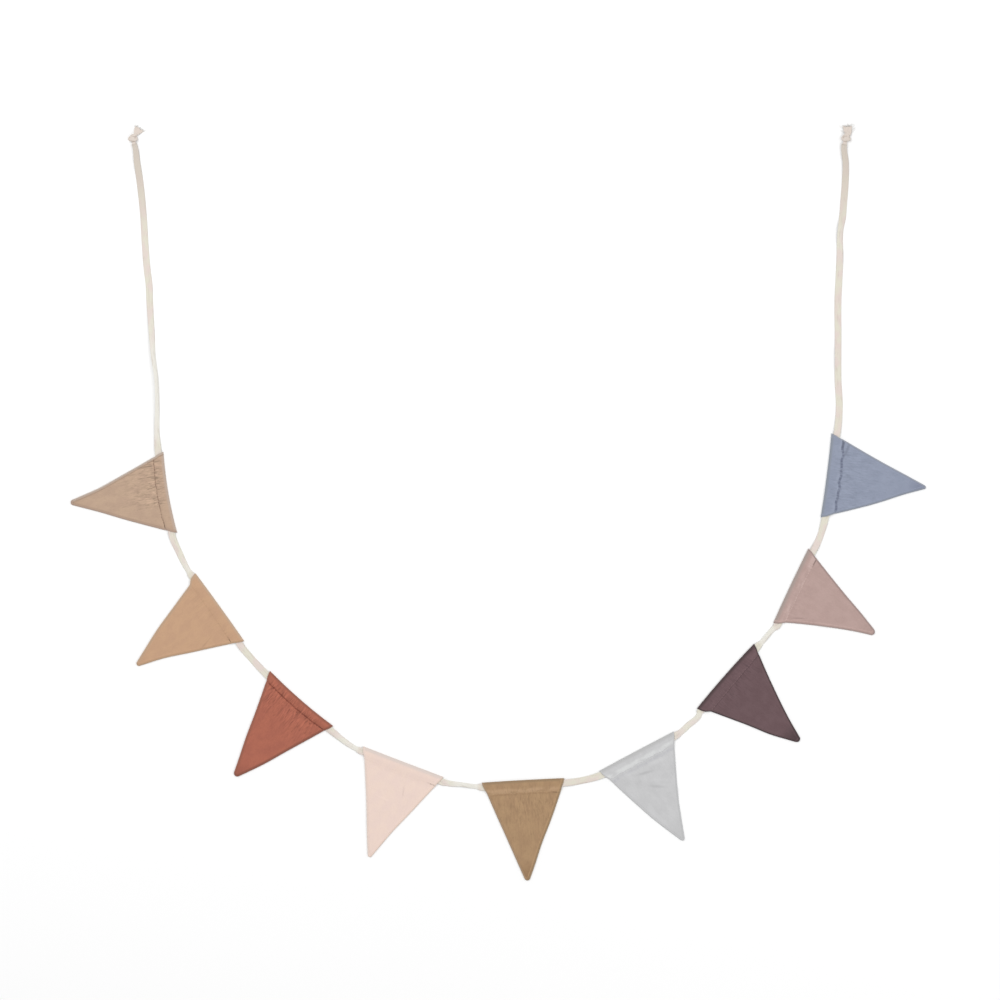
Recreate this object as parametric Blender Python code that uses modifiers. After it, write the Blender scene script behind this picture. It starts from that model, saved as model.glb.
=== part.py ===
"""Fabric bunting: nine double-cloth pennants threaded on one flat cotton tape, knotted at both ends.

Lengths are in metres and angles in degrees. +X runs along the chain from the left tie to the right
tie, +Y towards the tie ends and +Z up. The bunting lies flat, with z = 0 as the surface under it.
"""
from collections import namedtuple
from math import atan, atan2, ceil, cos, degrees, exp, hypot, pi, radians, sin, sqrt

import bmesh
import bpy
from mathutils import Matrix, Vector

# Woven tape
TAPE_WIDTH = 0.0100
TAPE_THICK = 0.0010
CUP_SHARE = 0.5
CUP_DEPTH = 0.375
TAPE_FACES = 4
STATION_STEP = 0.022
CASING_STEPS = 4

# Double cloth, and the folded casing at the top of each pennant that the tape runs through
CLOTH_THICK = 0.0018
SEAM_THICK = 0.0022
RIM_THICK = 0.0012
CASING_DEPTH = 0.0165
CASING_MIDDLE = 0.0074
CASING_THICK = 0.0036
BULGE_MIDDLE = 0.0080
FOLD_EDGE_THICK = 0.0019
STITCH_THICK = 0.0013
TUNNEL_WIDTH = 0.0124
TUNNEL_HEIGHT = 0.0018
TUNNEL_ROUND = 0.0006
TUNNEL_Z = CASING_THICK / 2
MOUTH_CLEAR = 0.002
MOUTH_INSIDE = 0.008
CUTTER_OVERHANG = 0.015
CUTTER_STEPS = 8

# Faces of a pennant's grid
ACROSS = (0.0, 0.035, 0.15, 0.27, 0.385, 0.50, 0.615, 0.73, 0.85, 0.965, 1.0)
CASING_ROWS = (0.0, 0.0015, 0.0040, 0.0080, 0.0120, 0.0145, 0.0165, 0.0190)
BODY_ROWS = 11
TIP_ANGLES = (30, 60, 80)

# Shape of a pennant's sides: the step below the casing, the belly, and the casing's full ends
STEP_START = 0.010
STEP_LENGTH = 0.008
BELLY_LENGTH = 0.18
EAR = 0.0007
EAR_AT = 0.0065
EAR_LENGTH = 0.0045
BEND_START = 0.020
BEND_END = 0.060

# One side of a pennant. corner is how far the fold's end is from its middle, and rise how far it is
# above the fold's straight line. The side bows outwards, steps in below the casing and bellies at a
# share of its length; negative numbers go the other way. mouth is the depth where the tape comes out.
Side = namedtuple("Side", "corner rise bow step belly belly_at mouth")

# Pennants in order from the left tie. x and y are the middle of the fold's straight line and turn is
# its direction. drop is the depth from there to the tip, lean is how far the tip is off the middle, tip
# is its radius, and fold_bow is how far the fold and its casing bow up, or sag where it is negative.
Pennant = namedtuple("Pennant", "name colour x y turn drop lean tip fold_bow left right")
PENNANTS = (
    Pennant(
        "flag_1_sand", "#C2A690", -0.4934, 0.0147, -80.7, 0.1485, -0.0081, 0.0043, -0.0031,
        Side(0.0611, 0.0007, -0.0026, -0.0006, -0.0014, 0.70, 0.0069),
        Side(0.0611, 0.0014, 0.0006, -0.0008, -0.0011, 0.75, 0.0068),
    ),
    Pennant(
        "flag_2_tan", "#CAA485", -0.4184, -0.1577, -54.3, 0.1508, -0.0019, 0.0037, 0.0006,
        Side(0.0621, 0.0004, 0.0021, 0.0042, 0.0011, 0.65, 0.0063),
        Side(0.0623, 0.0004, -0.0017, -0.0003, -0.0018, 0.75, 0.0077),
    ),
    Pennant(
        "flag_3_rust", "#B36F5D", -0.2953, -0.2948, -40.5, 0.1524, -0.0007, 0.0049, -0.0025,
        Side(0.0626, 0.0008, -0.0003, 0.0, 0.0010, 0.65, 0.0065),
        Side(0.0624, -0.0004, 0.0011, 0.0004, 0.0012, 0.75, 0.0078),
    ),
    Pennant(
        "flag_4_blush", "#EDD6CA", -0.1429, -0.3896, -20.7, 0.1511, 0.0027, 0.0031, -0.0002,
        Side(0.0640, 0.0006, -0.0009, 0.0009, 0.0007, 0.80, 0.0071),
        Side(0.0640, 0.0001, -0.0008, -0.0009, -0.0012, 0.70, 0.0074),
    ),
    Pennant(
        "flag_5_ochre", "#B09271", 0.0368, -0.4177, 3.2, 0.1497, -0.0017, 0.0043, 0.0005,
        Side(0.0618, 0.0002, 0.0002, 0.0006, -0.0002, 0.60, 0.0064),
        Side(0.0617, 0.0001, 0.0010, -0.0011, -0.0016, 0.65, 0.0070),
    ),
    Pennant(
        "flag_6_grey", "#CAC9CC", 0.2074, -0.3744, 28.0, 0.1498, -0.0008, 0.0033, 0.0003,
        Side(0.0626, 0.0008, 0.0033, 0.0017, 0.0006, 0.70, 0.0058),
        Side(0.0626, 0.0007, -0.0026, 0.0003, -0.0009, 0.60, 0.0059),
    ),
    Pennant(
        "flag_7_plum", "#735C5F", 0.3412, -0.2620, 48.9, 0.1458, -0.0003, 0.0049, 0.0015,
        Side(0.0641, 0.0015, 0.0007, 0.0036, 0.0021, 0.75, 0.0055),
        Side(0.0644, 0.0008, -0.0032, -0.0008, -0.0005, 0.75, 0.0058),
    ),
    Pennant(
        "flag_8_mauve", "#BDA49C", 0.4384, -0.1258, 64.2, 0.1435, -0.0093, 0.0051, 0.0007,
        Side(0.0614, -0.0005, -0.0033, 0.0017, -0.0005, 0.80, 0.0070),
        Side(0.0615, 0.0006, -0.0008, -0.0003, 0.0009, 0.80, 0.0075),
    ),
    Pennant(
        "flag_9_blue", "#979FB0", 0.4924, 0.0396, 82.3, 0.1492, 0.0021, 0.0031, -0.0011,
        Side(0.0627, 0.0007, 0.0021, 0.0005, -0.0017, 0.80, 0.0060),
        Side(0.0630, 0.0016, -0.0014, -0.0011, 0.0005, 0.80, 0.0066),
    ),
)

# Soft folds, where the cloth stands off the surface: u along the fold from its middle, v down from
# the fold, turn from the drop, then the half length, half width and height of the swell.
Swell = namedtuple("Swell", "flag u v turn length width height")
SWELLS = (
    Swell(1, -0.022, 0.055, 4, 0.045, 0.011, 0.0016),
    Swell(1, 0.008, 0.075, -3, 0.050, 0.009, 0.0012),
    Swell(1, 0.026, 0.045, 10, 0.026, 0.008, 0.0010),
    Swell(2, -0.012, 0.060, 24, 0.050, 0.014, 0.0013),
    Swell(2, 0.020, 0.050, -18, 0.030, 0.010, 0.0010),
    Swell(3, -0.020, 0.050, 6, 0.036, 0.009, 0.0014),
    Swell(3, 0.004, 0.072, 2, 0.055, 0.011, 0.0016),
    Swell(3, 0.028, 0.040, -12, 0.020, 0.008, 0.0009),
    Swell(4, -0.010, 0.065, -8, 0.050, 0.016, 0.0011),
    Swell(4, 0.024, 0.045, -20, 0.028, 0.010, 0.0009),
    Swell(5, -0.018, 0.060, 5, 0.046, 0.009, 0.0014),
    Swell(5, 0.010, 0.072, -4, 0.052, 0.010, 0.0015),
    Swell(6, -0.014, 0.038, 62, 0.036, 0.009, 0.0019),
    Swell(6, 0.014, 0.070, 48, 0.034, 0.010, 0.0016),
    Swell(6, -0.004, 0.100, 20, 0.028, 0.009, 0.0011),
    Swell(7, 0.010, 0.055, -6, 0.044, 0.012, 0.0013),
    Swell(7, -0.016, 0.080, 10, 0.040, 0.010, 0.0012),
    Swell(8, -0.026, 0.050, -14, 0.034, 0.008, 0.0014),
    Swell(8, 0.006, 0.070, -6, 0.046, 0.014, 0.0011),
    Swell(9, 0.000, 0.055, 3, 0.050, 0.012, 0.0015),
    Swell(9, 0.026, 0.045, -9, 0.024, 0.009, 0.0010),
)
SWELL_FLOOR = 0.0003

# The tape's free runs, as points of its middle line. width is the chord of the woven tape where it is
# cupped or gathered, tilt turns it on edge, lift is the clearance under it, and heading is its
# direction where a casing or a knot sets that.
Stop = namedtuple("Stop", "x y width tilt lift heading")


def stop(x, y, width=TAPE_WIDTH, tilt=0, lift=0.0, heading=None):
    return Stop(x, y, width, tilt, lift, heading)


LEFT_TIE = (
    stop(-0.54595, 0.5361, 0.0072, 0, 0.0024, -71),
    stop(-0.5418, 0.5080, 0.0092, 6, 0.0006),
    stop(-0.5377, 0.4800),
    stop(-0.5324, 0.4275, 0.0094),
    stop(-0.5300, 0.3869, 0.0096),
    stop(-0.5267, 0.3465),
    stop(-0.5240, 0.3248),
    stop(-0.5232, 0.3030, 0.0096),
    stop(-0.5204, 0.2590, 0.0092, 10),
    stop(-0.5171, 0.2145, 0.0082, 30),
    stop(-0.5134, 0.1880, 0.0080, 44),
    stop(-0.5119, 0.1640, 0.0082, 40),
    stop(-0.5117, 0.1347, 0.0086, 24),
    stop(-0.5123, 0.1120, 0.0090, 12),
)
GAPS = (
    stop(-0.4792, -0.0752, 0.0094),
    stop(-0.3705, -0.2346, 0.0097),
    stop(-0.2351, -0.3554, 0.0080, 8),
    stop(-0.0547, -0.4230, 0.0066, 14),
    stop(0.1239, -0.4179, 0.0097),
    stop(0.2832, -0.3360, 0.0096),
    stop(0.4011, -0.2021, 0.0074, 8),
    stop(0.4828, -0.0504, 0.0096),
)
RIGHT_TIE = (
    stop(0.5111, 0.1410),
    stop(0.5092, 0.1850, 0.0098),
    stop(0.5092, 0.2190, 0.0096, -8),
    stop(0.5093, 0.2480, 0.0096),
    stop(0.5092, 0.3030),
    stop(0.5109, 0.3400),
    stop(0.5118, 0.3675, 0.0092, 8),
    stop(0.5127, 0.4070, 0.0086, -14),
    stop(0.5163, 0.4300),
    stop(0.5174, 0.4452),
    stop(0.5198, 0.4755),
    stop(0.5206, 0.5080, 0.0090, -5, 0.0006),
    stop(0.5184, 0.5361, 0.0078, 0, 0.0024, 79),
)

# Knots: the tape bunched into a core, one wrap round it, and the cut end spread like a fan
Ring = namedtuple("Ring", "x y z half_width half_height")
Wrap = namedtuple("Wrap", "x y z turn pitch half_width half_height band thick")
RING_SIDES = 12
WRAP_SIDES = 20
WRAP_BAND_SIDES = 8
LEFT_KNOT_RINGS = (
    Ring(-0.5461, 0.5366, 0.0036, 0.0035, 0.0012),
    Ring(-0.5470, 0.5392, 0.0037, 0.0037, 0.0020),
    Ring(-0.5480, 0.5440, 0.0037, 0.0052, 0.0032),
    Ring(-0.5478, 0.5478, 0.0037, 0.0046, 0.0028),
    Ring(-0.5466, 0.5502, 0.0033, 0.0028, 0.0018),
    Ring(-0.5442, 0.5538, 0.0023, 0.0048, 0.0011),
    Ring(-0.5415, 0.5580, 0.0013, 0.0070, 0.0008),
    Ring(-0.5388, 0.5622, 0.0008, 0.0086, 0.0007),
)
LEFT_WRAP = Wrap(-0.5479, 0.5442, 0.0037, 18, 20, 0.0064, 0.0040, 0.0031, 0.0018)
RIGHT_KNOT_RINGS = (
    Ring(0.5185, 0.5366, 0.0036, 0.0037, 0.0012),
    Ring(0.5190, 0.5392, 0.0037, 0.0040, 0.0020),
    Ring(0.5202, 0.5435, 0.0037, 0.0054, 0.0032),
    Ring(0.5216, 0.5475, 0.0037, 0.0050, 0.0028),
    Ring(0.5226, 0.5505, 0.0031, 0.0042, 0.0017),
    Ring(0.5228, 0.5550, 0.0020, 0.0070, 0.0011),
    Ring(0.5226, 0.5600, 0.0012, 0.0098, 0.0008),
    Ring(0.5224, 0.5657, 0.0008, 0.0112, 0.0007),
)
RIGHT_WRAP = Wrap(0.5207, 0.5444, 0.0037, -24, 18, 0.0070, 0.0040, 0.0033, 0.0018)

TAPE_COLOUR = "#E6DCCF"
CLOTH_ROUGHNESS = 0.9


def linear(channel):
    """One sRGB channel, 0 to 1, as a linear value."""
    return channel / 12.92 if channel <= 0.04045 else ((channel + 0.055) / 1.055) ** 2.4


def cloth_material(name, colour):
    """A matt cloth of one sRGB hex colour."""
    red, green, blue = (linear(int(colour[i:i + 2], 16) / 255) for i in (1, 3, 5))
    material = bpy.data.materials.new(name)
    material.use_nodes = True
    shader = material.node_tree.nodes["Principled BSDF"]
    shader.inputs["Base Color"].default_value = (red, green, blue, 1.0)
    shader.inputs["Roughness"].default_value = CLOTH_ROUGHNESS
    shader.inputs["Metallic"].default_value = 0.0
    return material


def ease(t):
    """0 to 1 with level ends, and level beyond them."""
    t = min(1.0, max(0.0, t))
    return t * t * (3 - 2 * t)


def hump(distance, reach):
    """A soft hump, 1 in the middle and near 0 beyond its reach."""
    return exp(-(distance / reach) ** 2)


def finish(mesh, name, colour, collection, parent, place=(0.0, 0.0, 0.0), turn=0.0):
    """A named object with its own material, hung on the parent."""
    mesh.materials.append(cloth_material(name, colour))
    piece = bpy.data.objects.new(name, mesh)
    piece.location = place
    piece.rotation_euler = (0.0, 0.0, radians(turn))
    piece.parent = parent
    collection.objects.link(piece)
    return piece


def grid_bmesh(across, along):
    """A flat grid of quads with a layer for the cloth's thickness, and its vertices by column and row."""
    bm = bmesh.new()
    bmesh.ops.create_grid(bm, x_segments=across, y_segments=along, size=0.5)
    bm.verts.layers.float.new("thickness")
    verts = {
        (round((v.co.x + 0.5) * across), round((v.co.y + 0.5) * along)): v for v in bm.verts
    }
    return bm, verts


def side_line(v, run, flat, side):
    """How far a pennant's side stands out at depth v, from its corner to where the tip's arc starts."""
    t = v / run
    swell = side.bow * 4 * t * (1 - t) + side.belly * hump(t - side.belly_at, BELLY_LENGTH)
    step = side.step * (1 - t) * ease((v - STEP_START) / STEP_LENGTH)
    return flat * t + swell - step + EAR * hump(v - EAR_AT, EAR_LENGTH)


def pennant_sides(p, v):
    """The left and right ends of a pennant's cloth at depth v, from the middle of its fold."""
    centre = p.drop - p.tip
    ends = []
    for sign, side in ((-1, p.left), (1, p.right)):
        corner = sign * side.corner
        slope = atan2(abs(p.lean - corner), p.drop)
        touch_u = p.lean + sign * p.tip * cos(slope)
        touch_v = centre + p.tip * sin(slope)
        if v <= touch_v:
            ends.append(corner + sign * side_line(v, touch_v, sign * (touch_u - corner), side))
        else:
            ends.append(p.lean + sign * sqrt(max(0.0, p.tip ** 2 - (v - centre) ** 2)))
    return ends


def fold_line(p, u):
    """How far the fold, and the casing with it, is above its straight line at u, and its slope there."""
    span = p.left.corner + p.right.corner
    s = (u + p.left.corner) / span
    height = p.left.rise * (1 - s) + p.right.rise * s + p.fold_bow * 4 * s * (1 - s)
    slope = (p.right.rise - p.left.rise + p.fold_bow * 4 * (1 - 2 * s)) / span
    return height, slope


def cloth_place(p, share, v):
    """Where the cloth v below the fold lies: the fold's curve dies away below the casing."""
    left, right = pennant_sides(p, v)
    height, _ = fold_line(p, left + (right - left) * share)
    depth = v - height * (1 - ease((v - BEND_START) / (BEND_END - BEND_START)))
    left, right = pennant_sides(p, depth)
    return left + (right - left) * share, depth


def pennant_rows(p):
    """The depths of the grid's rows: close together in the casing and round the tip."""
    first = CASING_ROWS[-1]
    last = p.drop - p.tip
    body = [first + (last - first) * k / BODY_ROWS for k in range(1, BODY_ROWS + 1)]
    tip = [last + p.tip * sin(radians(a)) for a in TIP_ANGLES]
    return list(CASING_ROWS) + body + tip


def casing_thickness(v):
    """The casing bulges over the tape and is pinched along its stitch line."""
    if v >= CASING_DEPTH:
        return STITCH_THICK
    x = (v - BULGE_MIDDLE) / (CASING_DEPTH - BULGE_MIDDLE)
    return FOLD_EDGE_THICK + (CASING_THICK - FOLD_EDGE_THICK) * (1 - x ** 4)


def pennant_swell(number, u, v):
    """How far the cloth stands off the surface: soft humps, cut off level where it lies flat."""
    height = 0.0
    for s in SWELLS:
        if s.flag != number:
            continue
        a = radians(s.turn)
        du = u - s.u
        dv = v - s.v
        along = dv * cos(a) + du * sin(a)
        aside = du * cos(a) - dv * sin(a)
        height += s.height * hump(along, s.length) * hump(aside, s.width)
    return max(0.0, height - SWELL_FLOOR) * ease((v - CASING_ROWS[-1]) / CASING_DEPTH)


def pennant(number, p, collection, parent, cutters):
    """One pennant: two layers of cloth sewn down both sides, folded at the top into a casing."""
    rows = pennant_rows(p)
    bm, verts = grid_bmesh(len(ACROSS) - 1, len(rows) - 1)
    thickness = bm.verts.layers.float["thickness"]
    for (i, j), vert in verts.items():
        v = rows[-1 - j]
        u, depth = cloth_place(p, ACROSS[i], v)
        vert.co = Vector((u, -depth, pennant_swell(number, u, depth)))
        on_rim = i in (0, len(ACROSS) - 1) or j == 0
        by_seam = i in (1, len(ACROSS) - 2) or j == 1
        if v <= CASING_DEPTH:
            vert[thickness] = casing_thickness(v)
        elif on_rim:
            vert[thickness] = RIM_THICK
        else:
            vert[thickness] = SEAM_THICK if by_seam else CLOTH_THICK
    made = bmesh.ops.extrude_face_region(bm, geom=bm.faces[:])
    for item in made["geom"]:
        if isinstance(item, bmesh.types.BMVert):
            item.co.z += item[thickness]
    bmesh.ops.recalc_face_normals(bm, faces=bm.faces[:])
    mesh = bpy.data.meshes.new(p.name)
    bm.to_mesh(mesh)
    bm.free()
    piece = finish(mesh, p.name, p.colour, collection, parent, (p.x, p.y, 0.0), p.turn)

    cutter = tunnel_cutter(p, cutters, piece)
    cut = piece.modifiers.new("tape tunnel", "BOOLEAN")
    cut.operation = "DIFFERENCE"
    cut.object = cutter
    return piece


def tunnel_cutter(p, cutters, piece):
    """A flat bar with eased edges, which cuts the casing's tunnel from end to end along its curve."""
    bm = bmesh.new()
    bmesh.ops.create_grid(bm, x_segments=CUTTER_STEPS, y_segments=1, size=0.5)
    start = -p.left.corner - CUTTER_OVERHANG
    length = p.left.corner + p.right.corner + 2 * CUTTER_OVERHANG
    for vert in bm.verts:
        u = start + length * (vert.co.x + 0.5)
        height, _ = fold_line(p, u)
        y = height - CASING_MIDDLE + vert.co.y * TUNNEL_WIDTH
        vert.co = Vector((u, y, TUNNEL_Z - TUNNEL_HEIGHT / 2))
    made = bmesh.ops.extrude_face_region(bm, geom=bm.faces[:])
    for item in made["geom"]:
        if isinstance(item, bmesh.types.BMVert):
            item.co.z += TUNNEL_HEIGHT
    bmesh.ops.recalc_face_normals(bm, faces=bm.faces[:])
    mesh = bpy.data.meshes.new(p.name + "_tunnel")
    bm.to_mesh(mesh)
    bm.free()
    cutter = bpy.data.objects.new(p.name + "_tunnel", mesh)
    cutter.parent = piece
    cutter.hide_render = True
    cutter.display_type = "WIRE"
    edges = cutter.modifiers.new("eased edges", "BEVEL")
    edges.width = TUNNEL_ROUND
    edges.segments = 2
    cutters.objects.link(cutter)
    return cutter


def casing_stops(p):
    """The tape in one casing, level: just outside each mouth, and on the casing's line inside it."""
    frame = Matrix.Translation((p.x, p.y, 0.0)) @ Matrix.Rotation(radians(p.turn), 4, "Z")
    lift = TUNNEL_Z - TAPE_THICK / 2
    stops = []
    for sign, side in ((-1, p.left), (1, p.right)):
        outside = frame @ Vector((sign * (side.corner + MOUTH_CLEAR), -side.mouth, 0.0))
        u = sign * (side.corner - MOUTH_INSIDE)
        height, slope = fold_line(p, u)
        inside = frame @ Vector((u, height - CASING_MIDDLE, 0.0))
        heading = p.turn + degrees(atan(slope))
        pair = [
            stop(outside.x, outside.y, TAPE_WIDTH, 0, lift),
            stop(inside.x, inside.y, TAPE_WIDTH, 0, lift, heading),
        ]
        stops += pair if sign < 0 else reversed(pair)
    return stops


def tape_route():
    """Every stop of the tape, from the left knot through the nine casings to the right knot."""
    route = list(LEFT_TIE)
    for p, gap in zip(PENNANTS, GAPS + (None,)):
        route += casing_stops(p)
        if gap:
            route.append(gap)
    return route + list(RIGHT_TIE)


def headings(route):
    """A direction at each stop: its own, or the one that its neighbours give it."""
    directions = []
    for k, here in enumerate(route):
        if here.heading is not None:
            a = radians(here.heading)
            directions.append(Vector((cos(a), sin(a))))
            continue
        back = Vector((here.x - route[k - 1].x, here.y - route[k - 1].y))
        ahead = Vector((route[k + 1].x - here.x, route[k + 1].y - here.y))
        directions.append((back / back.length ** 2 + ahead / ahead.length ** 2).normalized())
    return directions


def tape_stations(route):
    """Points of one smooth curve through the stops, each with its direction and section."""
    directions = headings(route)
    stations = []
    for k in range(len(route) - 1):
        a, b = route[k], route[k + 1]
        chord = hypot(b.x - a.x, b.y - a.y)
        threaded = a.heading is not None and b.heading is not None
        steps = CASING_STEPS if threaded else ceil(chord / STATION_STEP)
        for n in range(steps + (k == len(route) - 2)):
            t = n / steps
            pull_a = directions[k] * chord
            pull_b = directions[k + 1] * chord
            spot = (
                Vector((a.x, a.y)) * (2 * t ** 3 - 3 * t ** 2 + 1)
                + pull_a * (t ** 3 - 2 * t ** 2 + t)
                + Vector((b.x, b.y)) * (3 * t ** 2 - 2 * t ** 3)
                + pull_b * (t ** 3 - t ** 2)
            )
            course = (
                Vector((a.x, a.y)) * (6 * t ** 2 - 6 * t)
                + pull_a * (3 * t ** 2 - 4 * t + 1)
                + Vector((b.x, b.y)) * (6 * t - 6 * t ** 2)
                + pull_b * (3 * t ** 2 - 2 * t)
            ).normalized()
            f = ease(t)
            width = a.width + (b.width - a.width) * f
            tilt = a.tilt + (b.tilt - a.tilt) * f
            lift = a.lift + (b.lift - a.lift) * f
            stations.append((spot, course, width, tilt, lift))
    return stations


def tape_section(width, tilt):
    """Offsets across the tape, as (aside, up): cupped where the chord is less than its woven width."""
    cup = CUP_SHARE * sqrt(CUP_DEPTH * width * max(0.0, TAPE_WIDTH - width))
    a = radians(tilt)
    offsets = []
    for i in range(TAPE_FACES + 1):
        x = 2 * i / TAPE_FACES - 1
        aside = x * width / 2
        up = cup * (1 - x * x)
        offsets.append((aside * cos(a) - up * sin(a), aside * sin(a) + up * cos(a)))
    return offsets


def tape(collection, parent):
    """One woven tape from knot to knot, lying on the surface and rising through each casing."""
    stations = tape_stations(tape_route())
    bm, verts = grid_bmesh(TAPE_FACES, len(stations) - 1)
    for (i, j), vert in verts.items():
        spot, course, width, tilt, lift = stations[j]
        offsets = tape_section(width, tilt)
        floor = min(up for aside, up in offsets)
        aside, up = offsets[i]
        across = Vector((course.y, -course.x))
        flat = spot + across * aside
        vert.co = Vector((flat.x, flat.y, lift + TAPE_THICK / 2 + up - floor))
    bmesh.ops.recalc_face_normals(bm, faces=bm.faces[:])
    mesh = bpy.data.meshes.new("tape")
    bm.to_mesh(mesh)
    bm.free()
    piece = finish(mesh, "tape", TAPE_COLOUR, collection, parent)
    wall = piece.modifiers.new("thickness", "SOLIDIFY")
    wall.thickness = TAPE_THICK
    wall.offset = 0.0
    wall.use_even_offset = True
    return piece


def loft(bm, rings):
    """A closed skin over a row of rings of points, with a flat cap at each end."""
    loops = [[bm.verts.new(point) for point in ring] for ring in rings]
    for low, high in zip(loops, loops[1:]):
        for k in range(len(low)):
            n = (k + 1) % len(low)
            bm.faces.new((low[k], low[n], high[n], high[k]))
    bm.faces.new(list(reversed(loops[0])))
    bm.faces.new(loops[-1])


def knot_core(rings):
    """The bunched tape inside the knot and its spread end, as elliptical sections on a bent line."""
    outline = []
    for k, r in enumerate(rings):
        before = rings[max(0, k - 1)]
        after = rings[min(len(rings) - 1, k + 1)]
        course = Vector((after.x - before.x, after.y - before.y)).normalized()
        points = []
        for n in range(RING_SIDES):
            a = 2 * pi * n / RING_SIDES
            aside = r.half_width * cos(a)
            up = max(r.z + r.half_height * sin(a), 0.0)
            points.append((r.x + course.y * aside, r.y - course.x * aside, up))
        outline.append(points)
    bm = bmesh.new()
    loft(bm, outline)
    bmesh.ops.recalc_face_normals(bm, faces=bm.faces[:])
    return bm


def wrap_ring(name, w, cutters, parent):
    """The turn of tape round the knot: a ring squashed flat, leaning, and level underneath."""
    bpy.ops.mesh.primitive_torus_add(
        major_radius=w.half_width - w.thick, minor_radius=w.thick,
        major_segments=WRAP_SIDES, minor_segments=WRAP_BAND_SIDES,
    )
    ring = bpy.context.object
    ring.name = name
    squash = Matrix.Diagonal((1.0, w.half_height / w.half_width, w.band / w.thick, 1.0))
    stand = Matrix.Rotation(radians(90 + w.pitch), 4, "X")
    place = Matrix.Translation((w.x, w.y, w.z)) @ Matrix.Rotation(radians(w.turn), 4, "Z")
    ring.data.transform(place @ stand @ squash)
    for vert in ring.data.vertices:
        vert.co.z = max(vert.co.z, 0.0)
    for home in list(ring.users_collection):
        home.objects.unlink(ring)
    cutters.objects.link(ring)
    ring.parent = parent
    ring.hide_render = True
    ring.display_type = "WIRE"
    return ring


def knot(name, rings, wrap, collection, parent, cutters):
    """An overhand knot pulled tight, joined from its core and its wrap."""
    bm = knot_core(rings)
    mesh = bpy.data.meshes.new(name)
    bm.to_mesh(mesh)
    bm.free()
    piece = finish(mesh, name, TAPE_COLOUR, collection, parent)
    join = piece.modifiers.new("wrap", "BOOLEAN")
    join.operation = "UNION"
    join.object = wrap_ring(name + "_wrap", wrap, cutters, parent)
    return piece


def main():
    """Clear the scene and build the bunting."""
    for old in list(bpy.data.objects):
        bpy.data.objects.remove(old, do_unlink=True)
    parts = bpy.data.collections.new("fabric_bunting")
    cutters = bpy.data.collections.new("cutters")
    bpy.context.scene.collection.children.link(parts)
    bpy.context.scene.collection.children.link(cutters)
    parent = bpy.data.objects.new("bunting", None)
    parts.objects.link(parent)

    tape(parts, parent)
    knot("knot_left", LEFT_KNOT_RINGS, LEFT_WRAP, parts, parent, cutters)
    knot("knot_right", RIGHT_KNOT_RINGS, RIGHT_WRAP, parts, parent, cutters)
    for number, p in enumerate(PENNANTS, start=1):
        pennant(number, p, parts, parent, cutters)


main()
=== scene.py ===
"""Looks of a fabric bunting: crinkled cotton pennants threaded on a flat tape, laid out in a wide U.

Lengths are in metres and angles in degrees. +X runs from the left tie to the right tie, +Y towards the
tie ends and +Z up from the surface. A pennant's own sizes are u along its fold, from the fold's middle,
and v down the drop, from the fold to the tip.
"""
from collections import namedtuple
from math import atan, atan2, ceil, cos, degrees, hypot, pi, radians, sin, sqrt
from random import Random

import bmesh
import bpy
import numpy as np
from bpy.props import FloatProperty, FloatVectorProperty, IntProperty, PointerProperty
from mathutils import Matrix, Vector, noise


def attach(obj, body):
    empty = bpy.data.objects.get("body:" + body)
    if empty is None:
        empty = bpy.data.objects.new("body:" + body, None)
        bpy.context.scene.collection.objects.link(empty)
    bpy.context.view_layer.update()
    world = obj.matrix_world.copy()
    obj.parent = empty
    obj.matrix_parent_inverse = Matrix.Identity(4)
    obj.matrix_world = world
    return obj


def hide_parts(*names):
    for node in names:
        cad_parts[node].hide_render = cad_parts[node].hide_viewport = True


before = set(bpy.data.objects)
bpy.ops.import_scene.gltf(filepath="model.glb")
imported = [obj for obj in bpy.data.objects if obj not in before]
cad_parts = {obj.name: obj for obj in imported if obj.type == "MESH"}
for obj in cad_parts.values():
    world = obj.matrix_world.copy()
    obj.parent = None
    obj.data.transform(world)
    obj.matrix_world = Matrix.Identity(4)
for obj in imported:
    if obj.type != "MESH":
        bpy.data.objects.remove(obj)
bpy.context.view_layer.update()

bl_info = {
    "name": "Fabric bunting",
    "version": (1, 0, 0),
    "blender": (4, 5, 0),
    "location": "View3D > Sidebar > Bunting",
    "description": "Crinkled cotton pennants on a flat woven tape, with a knotted tie at each end",
    "category": "Add Mesh",
}

BODY = "root"

# Shape of a pennant's sides: the step below the casing, the belly, and the casing's full ends. The
# fold's curve dies away down the drop, from BEND_START to BEND_END.
STEP_START = 0.010
STEP_LENGTH = 0.008
BELLY_LENGTH = 0.18
EAR = 0.0007
EAR_AT = 0.0065
EAR_LENGTH = 0.0045
BEND_START = 0.020
BEND_END = 0.060

# One side of a pennant. corner is how far the fold's end is from its middle, and rise how far it is
# above the fold's straight line. The side bows outwards, steps in below the casing and bellies at a
# share of its length; negative numbers go the other way. mouth is the depth where the tape comes out.
Side = namedtuple("Side", "corner rise bow step belly belly_at mouth")

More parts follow.
